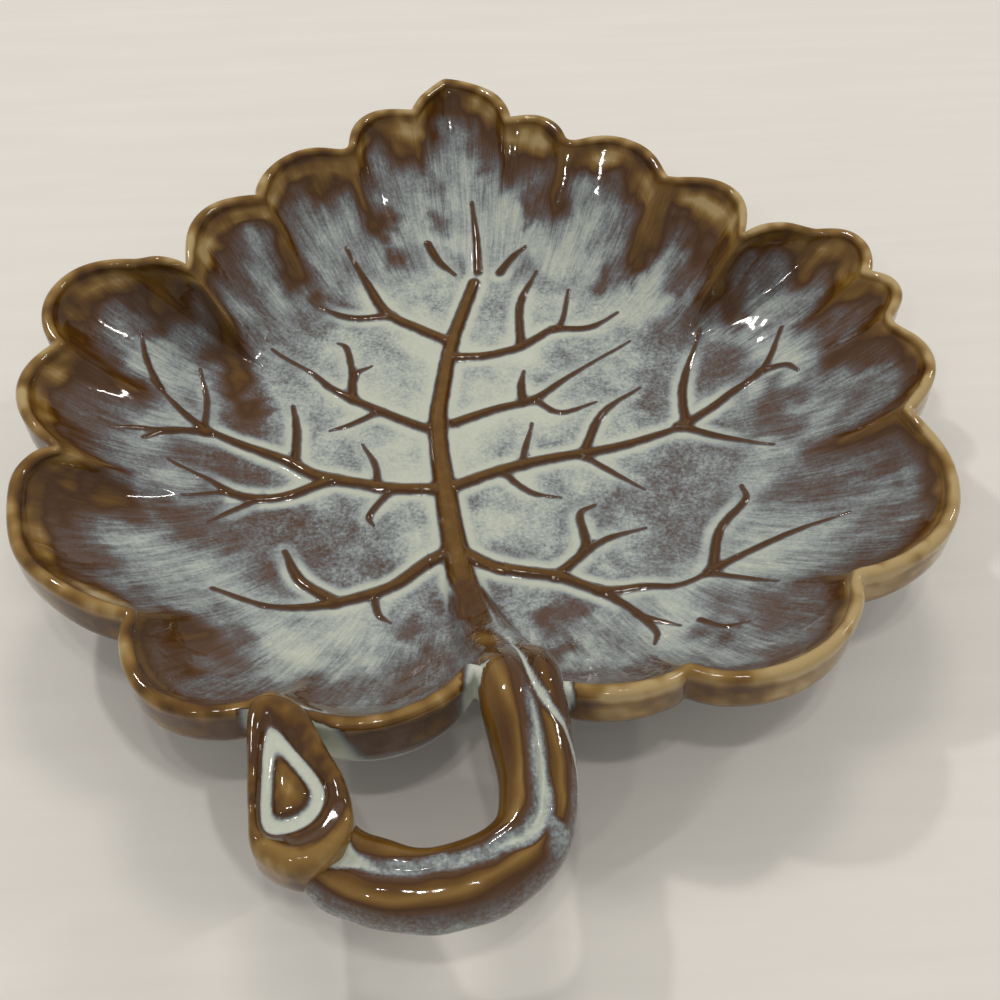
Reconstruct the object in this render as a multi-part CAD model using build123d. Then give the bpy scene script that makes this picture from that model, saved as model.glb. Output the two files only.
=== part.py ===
from build123d import *
import os
from math import atan2, cos, hypot, sin

# A glazed leaf dish for rings and trinkets: a lobed leaf bowl on a turned foot ring, with raised veins
# on its inside, and a twig stem that climbs out over the rim and loops round to make a finger handle.
# Millimetres. The leaf's tip points along +Y, the stem along -Y, and the dish stands on Z = 0.

# The leaf bowl
half_width = 100
rim_height = 36
floor_thickness = 4.5
wall_thickness = 4.5
lip_thickness = 3
lip_round = 1.2
lip_band_height = 9.5
loop_band_drop = 3.5
notch_dip = 1.6
floor_reach_share = 0.5
underside_reach_share = 0.55
wall_curve = 2.2
flute_start_share = 0.55
flute_end_share = 0.95

# The foot ring
foot_height = 3
foot_inset = 1
foot_width = 6
foot_round = 1

# The stem and its loop
stem_width = 14
stem_depth = 12.5

# The cut end of the stem
end_height = 12.5
end_rise = 1.5
end_edge = 1.6
drop_depth = 1.8
tenon_cover = 0.8
overrun = 1

# The veins
vein_rise_share = 0.42
vein_sink = 1
midrib_root_width = 6.5
midrib_tip_width = 3

# Each arc of the rim, counter-clockwise from the stem: the x and y of the place where it starts, how far
# it swells outwards past the straight line to the next place, as shares of the half width, and how much
# of the notches' dip and of the loop's deeper band it has there. A place without a dip is the leaf's
# tip or a lobe's shoulder.
lobe_shares = [
    (-0.05, -0.845, 0.01, 1, 0), (0.13, -0.905, 0.035, 1, 0), (0.348, -0.874, 0.11, 1, 0),
    (0.70, -0.683, 0.15, 1, 0), (0.90, -0.25, 0.095, 1, 0), (0.93, 0.025, 0.055, 1, 0),
    (0.937, 0.188, 0.055, 1, 0), (0.86, 0.35, 0.045, 1, 0), (0.652, 0.324, 0.115, 1, 0),
    (0.505, 0.573, 0.105, 1, 0), (0.27, 0.739, 0.05, 1, 0), (0.138, 0.887, 0.036, 1, 0),
    (-0.026, 1.055, 0.006, 0, 0), (-0.118, 0.934, 0.075, 1, 0), (-0.267, 0.739, 0.09, 1, 0),
    (-0.51, 0.583, 0.09, 1, 0), (-0.638, 0.28, 0.03, 1, 0), (-0.805, 0.345, 0.105, 1, 0),
    (-0.927, 0.073, 0.095, 1, 0), (-0.858, -0.254, 0.026, 1, 0), (-0.948, -0.365, 0.08, 0, 0),
    (-0.676, -0.686, 0.115, 1, 0), (-0.405, -0.888, 0.09, 1, 1),
]

# The smooth oval that the floor follows: its mean reach, its stretch across and its shift to the stem.
oval_mean_share = 0.91
oval_stretch_share = 0.04
oval_shift_share = 0.06

# Reach of the rings that shape the inside of the wall, as shares of the rim's own reach.
wall_reach_shares = [0.58, 0.66, 0.74, 0.82, 0.89, 0.95]

# The stem's stations from the midrib to the cut end: x and y of the centre as shares of the half width,
# how far it has climbed the wall, how far it hangs below that as a share of the stem's depth, then its
# width and depth as shares of the stem's own.
stem_station_shares = [
    (-0.058, -0.42, 0, 0, 0.36, 0.24), (-0.044, -0.50, 0.015, 0, 0.50, 0.32),
    (-0.022, -0.60, 0.055, 0, 0.70, 0.40), (0.002, -0.70, 0.33, 0, 0.92, 0.50),
    (0.022, -0.79, 0.73, 0, 1.10, 0.70), (0.038, -0.885, 1, 0.25, 1.20, 0.98),
    (0.052, -0.985, 1, 0.435, 1.06, 1), (0.056, -1.085, 1, 0.545, 0.98, 1),
    (0.030, -1.170, 1, 0.605, 0.98, 1), (-0.058, -1.228, 1, 0.64, 0.98, 1),
    (-0.165, -1.240, 1, 0.605, 0.99, 1), (-0.262, -1.208, 1, 0.57, 1.02, 1),
]

# The tenon hidden in the cut end carries on from there: x, y, width and depth in the same shares.
tenon_station_shares = [(-0.325, -1.150, 0.96, 0.94), (-0.352, -1.085, 0.70, 0.64)]

# The stem's section: two rounded ribs with a groove between them over a plain round underside, as
# shares of the width and the depth, from the outer side of the loop over the top.
stem_section_shares = [
    (-0.50, 0.02), (-0.455, 0.29), (-0.30, 0.47), (-0.18, 0.39), (-0.06, 0.335), (0.07, 0.42),
    (0.24, 0.50), (0.41, 0.33), (0.50, -0.02), (0.40, -0.35), (0.16, -0.50), (-0.16, -0.50),
    (-0.40, -0.34),
]

# The cut end's outline, seen from above, as shares of the half width.
end_outline_shares = [
    (-0.437, -0.895), (-0.362, -0.882), (-0.275, -1.07), (-0.255, -1.155), (-0.335, -1.235),
    (-0.42, -1.20), (-0.432, -1.03),
]

# The teardrop sunk into the cut end and the smaller one left standing in it.
drop_outline_shares = [
    (-0.405, -0.955), (-0.352, -1.010), (-0.302, -1.085), (-0.315, -1.140), (-0.365, -1.165),
    (-0.405, -1.150), (-0.412, -1.060),
]
drop_centre_shares = (-0.362, -1.095)
drop_heart_share = 0.5

# The veins' courses from root to tip, in shares of the half width, with the widths in millimetres.
midrib_shares = [
    (-0.054, -0.44), (-0.062, -0.40), (-0.073, -0.29), (-0.081, -0.19), (-0.089, -0.09), (-0.090, 0.02),
    (-0.077, 0.12), (-0.049, 0.28), (-0.012, 0.41), (0.022, 0.51),
]

wide_vein = 3.2
main_vein = 2.8
branch_vein = 2.2
twig_vein = 1.6
fine_vein = 1.2

right_vein_shares = [
    (main_vein, twig_vein, [(-0.04, 0.24), (0.04, 0.24), (0.13, 0.27), (0.20, 0.32), (0.24, 0.35),
                            (0.27, 0.46)]),
    (branch_vein, fine_vein, [(0.22, 0.33), (0.31, 0.33), (0.39, 0.37)]),
    (branch_vein, twig_vein, [(0.13, 0.28), (0.14, 0.43), (0.19, 0.53)]),
    (main_vein, fine_vein, [(-0.05, 0.01), (0.05, 0.05), (0.15, 0.08), (0.25, 0.16), (0.41, 0.27)]),
    (branch_vein, fine_vein, [(0.12, 0.07), (0.12, 0.13), (0.13, 0.18)]),
    (twig_vein, fine_vein, [(0.15, 0.075), (0.21, 0.03), (0.30, 0.06)]),
    (wide_vein, branch_vein, [(-0.055, -0.19), (0.045, -0.15), (0.17, -0.12), (0.30, -0.10),
                              (0.45, -0.055), (0.505, -0.03)]),
    (branch_vein, twig_vein, [(0.49, -0.04), (0.62, 0.04), (0.71, 0.09), (0.77, 0.19)]),
    (twig_vein, fine_vein, [(0.70, 0.085), (0.755, 0.075), (0.78, 0.04)]),
    (branch_vein, fine_vein, [(0.25, -0.11), (0.31, 0.02), (0.415, 0.105)]),
    (branch_vein, twig_vein, [(0.505, -0.035), (0.52, 0.10), (0.585, 0.26)]),
    (branch_vein, fine_vein, [(0.49, -0.035), (0.58, -0.085), (0.69, -0.15)]),
    (twig_vein, fine_vein, [(0.24, -0.11), (0.305, -0.165), (0.38, -0.23)]),
    (twig_vein, fine_vein, [(0.05, -0.148), (0.115, -0.218), (0.185, -0.24)]),
    (twig_vein, fine_vein, [(0.10, -0.138), (0.115, -0.08), (0.137, 0)]),
    (wide_vein, branch_vein, [(-0.05, -0.385), (0.027, -0.432), (0.12, -0.455), (0.165, -0.468),
                              (0.25, -0.515), (0.34, -0.517), (0.41, -0.527), (0.49, -0.498)]),
    (branch_vein, twig_vein, [(0.15, -0.465), (0.223, -0.392), (0.222, -0.295), (0.26, -0.267)]),
    (twig_vein, fine_vein, [(0.222, -0.40), (0.282, -0.364), (0.367, -0.342)]),
    (branch_vein, twig_vein, [(0.485, -0.50), (0.525, -0.377), (0.596, -0.298), (0.598, -0.25)]),
    (branch_vein, fine_vein, [(0.48, -0.50), (0.583, -0.458), (0.682, -0.434), (0.783, -0.428)]),
    (twig_vein, fine_vein, [(0.475, -0.505), (0.54, -0.547), (0.595, -0.595)]),
    (branch_vein, fine_vein, [(0.24, -0.51), (0.303, -0.585), (0.337, -0.661), (0.326, -0.708)]),
    (twig_vein, fine_vein, [(0.31, -0.60), (0.347, -0.627), (0.387, -0.654)]),
]

left_vein_shares = [
    (wide_vein, branch_vein, [(-0.05, 0.295), (-0.126, 0.35), (-0.21, 0.415), (-0.267, 0.516),
                              (-0.311, 0.586)]),
    (branch_vein, twig_vein, [(-0.20, 0.405), (-0.307, 0.40), (-0.408, 0.435)]),
    (main_vein, twig_vein, [(-0.09, 0), (-0.117, -0.003), (-0.21, 0.05), (-0.297, 0.107),
                            (-0.354, 0.153), (-0.406, 0.213), (-0.50, 0.28)]),
    (branch_vein, fine_vein, [(-0.297, 0.107), (-0.295, 0.19), (-0.25, 0.224)]),
    (twig_vein, fine_vein, [(-0.295, 0.18), (-0.314, 0.29), (-0.338, 0.314)]),
    (twig_vein, fine_vein, [(-0.23, 0.063), (-0.30, 0.023), (-0.35, 0.006)]),
    (wide_vein, main_vein, [(-0.085, -0.198), (-0.20, -0.188), (-0.298, -0.163), (-0.389, -0.132),
                            (-0.457, -0.081), (-0.607, -0.012), (-0.648, -0.002)]),
    (branch_vein, twig_vein, [(-0.635, -0.004), (-0.718, -0.021), (-0.769, -0.066)]),
    (twig_vein, fine_vein, [(-0.71, -0.02), (-0.784, -0.042), (-0.834, -0.068)]),
    (branch_vein, fine_vein, [(-0.64, -0.003), (-0.704, 0.052), (-0.77, 0.118)]),
    (twig_vein, fine_vein, [(-0.645, -0.002), (-0.647, 0.097), (-0.668, 0.19)]),
    (twig_vein, fine_vein, [(-0.75, 0.10), (-0.784, 0.17), (-0.80, 0.24)]),
    (branch_vein, twig_vein, [(-0.43, -0.10), (-0.43, 0.01), (-0.443, 0.096)]),
    (main_vein, twig_vein, [(-0.335, -0.15), (-0.451, -0.196), (-0.55, -0.194), (-0.619, -0.156),
                            (-0.712, -0.118)]),
    (twig_vein, fine_vein, [(-0.53, -0.195), (-0.588, -0.188), (-0.673, -0.221)]),
    (twig_vein, fine_vein, [(-0.50, -0.195), (-0.568, -0.248), (-0.611, -0.288)]),
    (twig_vein, fine_vein, [(-0.235, -0.182), (-0.242, -0.111), (-0.273, -0.042)]),
    (twig_vein, fine_vein, [(-0.20, -0.188), (-0.254, -0.262), (-0.245, -0.295)]),
    (wide_vein, branch_vein, [(-0.06, -0.375), (-0.123, -0.405), (-0.203, -0.469), (-0.292, -0.504),
                              (-0.377, -0.528), (-0.468, -0.533), (-0.577, -0.498)]),
    (main_vein, branch_vein, [(-0.325, -0.512), (-0.403, -0.447), (-0.44, -0.362)]),
    (twig_vein, fine_vein, [(-0.245, -0.485), (-0.234, -0.548), (-0.207, -0.575)]),
]

vein_tip_shares = [
    (branch_vein, twig_vein, [(0.035, 0.547), (0.036, 0.647), (0.030, 0.757)]),
    (branch_vein, twig_vein, [(-0.096, 0.636), (-0.066, 0.58), (-0.027, 0.541)]),
    (branch_vein, twig_vein, [(0.093, 0.539), (0.128, 0.577), (0.165, 0.60)]),
    (twig_vein, fine_vein, [(0.43, -0.648), (0.47, -0.684), (0.518, -0.687)]),
]

floor_height = foot_height + floor_thickness
wall_height = rim_height - floor_height
end_top_height = rim_height + end_rise


def oval_reach(angle):
    """How far the smooth oval reaches in a direction, as a share of the half width."""
    return oval_mean_share + oval_stretch_share * cos(2 * angle) - oval_shift_share * sin(angle)


def flute_blend(reach):
    """How much of the rim's lobes shows at a reach: none on the floor and all of it near the rim."""
    t = (reach - flute_start_share) / (flute_end_share - flute_start_share)
    t = min(max(t, 0), 1)
    return t * t * (3 - 2 * t)


def inside_height(reach):
    """Height of the inner surface at a reach."""
    t = max((reach - floor_reach_share) / (1 - floor_reach_share), 0)
    return floor_height + wall_height * t ** wall_curve


def outside_height(reach):
    """Height of the outer surface at a reach: the wall's thickness below the inside, square to it."""
    t = max((reach - floor_reach_share) / (1 - floor_reach_share), 0)
    run = half_width * (1 - floor_reach_share)
    slope = wall_height * wall_curve * t ** (wall_curve - 1) / run
    return inside_height(reach) - wall_thickness * (1 + slope * slope) ** 0.5


def leaf_ring(reach, height, outset=0, loop_drop=0):
    """One closed ring round the leaf, made of an arc for each lobe."""
    blend = flute_blend(reach)
    notches = []
    for x, y, swell, dip, deeper in lobe_shares:
        angle = atan2(y, x)
        oval = oval_reach(angle)
        across = half_width * reach * ((1 - blend) * oval * cos(angle) + blend * x)
        along = half_width * reach * ((1 - blend) * oval * sin(angle) + blend * y)
        grow = 1 + outset / hypot(across, along)
        notches.append(Vector(across * grow, along * grow, height - notch_dip * blend * dip))
    arcs = []
    for i in range(len(notches)):
        start = notches[i]
        stop = notches[(i + 1) % len(notches)]
        chord = stop - start
        outwards = Vector(chord.Y, -chord.X, 0).normalized()
        round_swell = chord.length ** 2 / (8 * half_width * oval_mean_share * reach)
        swell = (1 - blend) * round_swell + blend * lobe_shares[i][2] * half_width * reach
        middle = (start + stop) * 0.5
        crest = Vector(middle.X, middle.Y, height - loop_drop * lobe_shares[i][4]) + outwards * swell
        arcs.append(Edge.make_three_point_arc(start, crest, stop))
    return Wire(arcs)


def make_leaf_bowl():
    """The leaf from the middle of its floor up the inside, over the lip and down the outside."""
    half_lip = lip_thickness / 2
    rings = [leaf_ring(floor_reach_share, floor_height)]
    for reach in wall_reach_shares:
        rings.append(leaf_ring(reach, inside_height(reach)))
    rings.append(leaf_ring(1, rim_height - lip_round, -half_lip))
    rings.append(leaf_ring(1, rim_height, -half_lip + lip_round))
    rings.append(leaf_ring(1, rim_height, half_lip - lip_round))
    rings.append(leaf_ring(1, rim_height - lip_round, half_lip))
    rings.append(leaf_ring(1, rim_height - lip_band_height, half_lip, loop_band_drop))
    for reach in reversed(wall_reach_shares[1:-1]):
        rings.append(leaf_ring(reach, outside_height(reach)))
    rings.append(leaf_ring(underside_reach_share, foot_height))
    return Solid.make_loft(rings, ruled=True)


def make_foot_ring():
    """The turned ring that the dish stands on, just inside the edge of the leaf's flat underside."""
    narrow_reach_share = oval_mean_share - oval_stretch_share - oval_shift_share
    foot_radius = half_width * underside_reach_share * narrow_reach_share - foot_inset
    middle = Pos(0, 0, foot_height / 2)
    ring = middle * (Cylinder(foot_radius, foot_height) - Cylinder(foot_radius - foot_width, foot_height))
    return fillet(ring.edges().group_by(Axis.Z)[0], foot_round)


def closed_curve(plane, points):
    """A smooth closed wire through points given across and up a plane."""
    places = [plane.from_local_coords(Vector(x, y, 0)) for x, y in points]
    return Wire([Edge.make_spline(places, periodic=True)])


def stem_stations():
    """The stem's centre, width and depth at each station, its tenon kept under the teardrop's floor."""
    stations = []
    for x, y, climb, sink, width, depth in stem_station_shares:
        height = floor_height + wall_height * climb - stem_depth * sink
        centre = Vector(half_width * x, half_width * y, height)
        stations.append((centre, stem_width * width, stem_depth * depth))
    for x, y, width, depth in tenon_station_shares:
        height = end_top_height - drop_depth - tenon_cover - stem_depth * depth / 2
        centre = Vector(half_width * x, half_width * y, height)
        stations.append((centre, stem_width * width, stem_depth * depth))
    return stations


def make_stem_handle(leaf_bowl):
    """The twig from the midrib over the rim and round the finger hole to its cut end."""
    stations = stem_stations()
    sections = []
    for i, (centre, width, depth) in enumerate(stations):
        ahead = stations[min(i + 1, len(stations) - 1)][0]
        behind = stations[max(i - 1, 0)][0]
        run = (ahead - behind).normalized()
        across = Vector(0, 0, 1).cross(run).normalized()
        plane = Plane(origin=centre, x_dir=across, z_dir=run)
        points = [(-u * width, v * depth) for u, v in stem_section_shares]
        sections.append(closed_curve(plane, points))
    return largest(Solid.make_loft(sections) - leaf_bowl)


def largest(shape):
    """The biggest of a shape's solids: what is left of a piece after its seat is cut out of it."""
    return shape.solids().sort_by(SortBy.VOLUME)[-1]


def shifted_outline(outline, height, inset):
    """An outline of shares as a closed wire at a height, drawn in towards its middle by an inset."""
    corners = [Vector(half_width * x, half_width * y, 0) for x, y in outline]
    middle = sum(corners, Vector(0, 0, 0)) * (1 / len(corners))
    points = []
    for corner in corners:
        inwards = (middle - corner).normalized()
        points.append(corner + inwards * inset + Vector(0, 0, height))
    return Wire([Edge.make_spline(points, periodic=True)])


def make_stem_end(leaf_bowl, stem_handle):
    """The twig's flattened cut end, with a teardrop sunk into its face and a smaller one inside it."""
    bottom = end_top_height - end_height
    levels = [(bottom, end_edge * 2), (bottom + end_edge, 0), (end_top_height - end_edge, 0),
              (end_top_height, end_edge)]
    rings = [shifted_outline(end_outline_shares, height, inset) for height, inset in levels]
    block = Solid.make_loft(rings, ruled=True)
    heart_x, heart_y = drop_centre_shares
    heart_shares = []
    for x, y in drop_outline_shares:
        heart_shares.append((heart_x + (x - heart_x) * drop_heart_share,
                             heart_y + (y - heart_y) * drop_heart_share))
    sunk = Face(shifted_outline(drop_outline_shares, end_top_height - drop_depth, 0))
    heart = Face(shifted_outline(heart_shares, end_top_height - drop_depth, 0))
    groove = extrude(sunk - heart, amount=drop_depth + overrun, dir=(0, 0, 1))
    return largest(block - groove - leaf_bowl - stem_handle)


def seat_on_leaf(leaf_bowl, x, y):
    """The point of the leaf's upper surface at a place given in shares, and the way it faces."""
    above = Axis((half_width * x, half_width * y, rim_height + overrun), (0, 0, -1))
    hits = leaf_bowl.find_intersection_points(above)
    point, facing = max(hits, key=lambda hit: hit[0].Z)
    return point, facing if facing.Z > 0 else facing * -1


def vein_section(plane, width):
    """A vein's section across its course: a rounded back that stands proud over a sunk flat base."""
    left = plane.from_local_coords(Vector(-width / 2, -vein_sink, 0))
    back = plane.from_local_coords(Vector(0, width * vein_rise_share, 0))
    right = plane.from_local_coords(Vector(width / 2, -vein_sink, 0))
    return Wire([Edge.make_three_point_arc(left, back, right), Edge.make_line(right, left)])


def make_vein(leaf_bowl, root_width, tip_width, course):
    """One raised vein, tapering from its root to its tip along a course on the leaf."""
    seats = [seat_on_leaf(leaf_bowl, x, y) for x, y in course]
    sections = []
    for i, (point, facing) in enumerate(seats):
        ahead = seats[min(i + 1, len(seats) - 1)][0]
        behind = seats[max(i - 1, 0)][0]
        run = (ahead - behind).normalized()
        across = facing.cross(run).normalized()
        width = root_width + (tip_width - root_width) * i / (len(seats) - 1)
        sections.append(vein_section(Plane(origin=point, x_dir=across, z_dir=run), width))
    return Solid.make_loft(sections, ruled=True)


def make_veins(leaf_bowl, veins, neighbours):
    """A family of veins joined where they branch, cut to sit on the leaf and against its neighbours."""
    family = Part() + [make_vein(leaf_bowl, *vein) for vein in veins]
    for neighbour in [leaf_bowl] + neighbours:
        family = family - neighbour
    return family


leaf_bowl = make_leaf_bowl()
foot_ring = make_foot_ring()
stem_handle = make_stem_handle(leaf_bowl)
stem_end = make_stem_end(leaf_bowl, stem_handle)
midrib_course = (midrib_root_width, midrib_tip_width, midrib_shares)
midrib = make_veins(leaf_bowl, [midrib_course], [stem_handle])
side_veins_right = make_veins(leaf_bowl, right_vein_shares, [midrib, stem_handle])
side_veins_left = make_veins(leaf_bowl, left_vein_shares, [midrib, stem_handle])
vein_tips = make_veins(leaf_bowl, vein_tip_shares, [])

pieces = {
    "leaf_bowl": leaf_bowl,
    "foot_ring": foot_ring,
    "stem_handle": stem_handle,
    "stem_end": stem_end,
    "midrib": midrib,
    "side_veins_right": side_veins_right,
    "side_veins_left": side_veins_left,
    "vein_tips": vein_tips,
}

# The origin is on the table under the middle of the dish's whole length and width.
reach_box = Compound(children=[Compound(piece.solids()) for piece in pieces.values()]).bounding_box()
to_origin = Pos(-(reach_box.min.X + reach_box.max.X) / 2, -(reach_box.min.Y + reach_box.max.Y) / 2, 0)

os.makedirs("parts", exist_ok=True)
for name, piece in pieces.items():
    export_step(Compound(piece.solids()).moved(to_origin), f"parts/{name}.step")
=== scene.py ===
from math import cos, pi, radians, sin

import bmesh
import bpy
import numpy as np
from mathutils import Matrix, Vector
from mathutils.bvhtree import BVHTree


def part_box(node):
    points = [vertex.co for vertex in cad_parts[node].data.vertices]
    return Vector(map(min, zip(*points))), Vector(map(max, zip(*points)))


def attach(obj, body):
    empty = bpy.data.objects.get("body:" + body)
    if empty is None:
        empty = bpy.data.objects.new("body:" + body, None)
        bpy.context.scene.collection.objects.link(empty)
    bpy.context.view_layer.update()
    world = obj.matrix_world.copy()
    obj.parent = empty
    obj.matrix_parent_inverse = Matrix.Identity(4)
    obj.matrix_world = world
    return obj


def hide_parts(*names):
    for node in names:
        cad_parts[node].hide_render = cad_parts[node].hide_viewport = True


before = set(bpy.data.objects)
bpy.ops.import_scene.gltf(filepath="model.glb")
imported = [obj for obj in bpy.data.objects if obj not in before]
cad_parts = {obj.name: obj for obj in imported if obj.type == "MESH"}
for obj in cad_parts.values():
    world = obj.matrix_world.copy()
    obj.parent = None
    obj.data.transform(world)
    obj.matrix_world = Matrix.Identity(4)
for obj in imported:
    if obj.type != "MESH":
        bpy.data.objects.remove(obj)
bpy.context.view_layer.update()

# The leaf is worked out in millimetres round the middle of its foot, and set down in metres.
MM = 0.001
foot_low, foot_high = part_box("foot_ring")
leaf_centre = np.array([(foot_low[0] + foot_high[0]) / 2, (foot_low[1] + foot_high[1]) / 2, 0.0])
foot_height = (foot_high[2] - foot_low[2]) / MM

# Sizes of the leaf, as in the solid model
half_width = 100.0
rim_height = 36.0
wall_thickness = 4.5
floor_thickness = 4.5
floor_height = foot_height + floor_thickness
wall_height = rim_height - floor_height
half_lip = 1.5
lip_band_height = 9.5
loop_band_drop = 3.5
notch_dip = 1.6
flat_share = 0.5
underside_share = 0.55
wall_curve = 2.2
oval_mean_share, oval_stretch_share, oval_shift_share = 0.91, 0.04, 0.06

# Where the lobes begin and where they are full, as reaches: shares of the way out to the rim
lobes_begin, lobes_full = 0.55, 0.95

# Each arc of the rim, counter-clockwise from the stem: x and y of the place where it starts, its swell,
# and how much of the notches' dip and of the loop's deeper band it has there. Then come the golden ridge
# under that notch: the reach where it fades out and its half width at the rim in mm.
lobe_rows = np.array([
    (-0.05, -0.845, 0.01, 1, 0, 0.93, 2.5), (0.13, -0.905, 0.035, 1, 0, 0.93, 2.5),
    (0.348, -0.874, 0.11, 1, 0, 0.91, 3.0), (0.70, -0.683, 0.15, 1, 0, 0.93, 3.0),
    (0.90, -0.25, 0.095, 1, 0, 0.86, 5.0), (0.93, 0.025, 0.055, 1, 0, 0.88, 3.5),
    (0.937, 0.188, 0.055, 1, 0, 0.88, 5.0), (0.86, 0.35, 0.03, 1, 0, 0.86, 5.0),
    (0.652, 0.324, 0.115, 1, 0, 0.79, 6.0), (0.505, 0.573, 0.105, 1, 0, 0.80, 6.0),
    (0.27, 0.739, 0.05, 1, 0, 0.84, 5.5), (0.138, 0.887, 0.036, 1, 0, 0.90, 4.0),
    (-0.026, 1.055, 0.006, 0, 0, 1.0, 0), (-0.118, 0.934, 0.075, 1, 0, 0.90, 4.0),
    (-0.267, 0.739, 0.09, 1, 0, 0.84, 4.0), (-0.51, 0.583, 0.09, 1, 0, 0.80, 5.0),
    (-0.645, 0.288, 0.012, 1, 0, 0.80, 5.5), (-0.805, 0.345, 0.105, 1, 0, 0.90, 3.0),
    (-0.927, 0.073, 0.095, 1, 0, 0.84, 5.0), (-0.858, -0.254, 0.026, 1, 0, 0.90, 4.5),
    (-0.948, -0.365, 0.08, 0, 0, 1.0, 0), (-0.676, -0.686, 0.115, 1, 0, 0.92, 4.0),
    (-0.405, -0.888, 0.09, 1, 1, 0.90, 4.0),
])
LOBES = len(lobe_rows)
COLUMNS_PER_LOBE = 32

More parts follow.
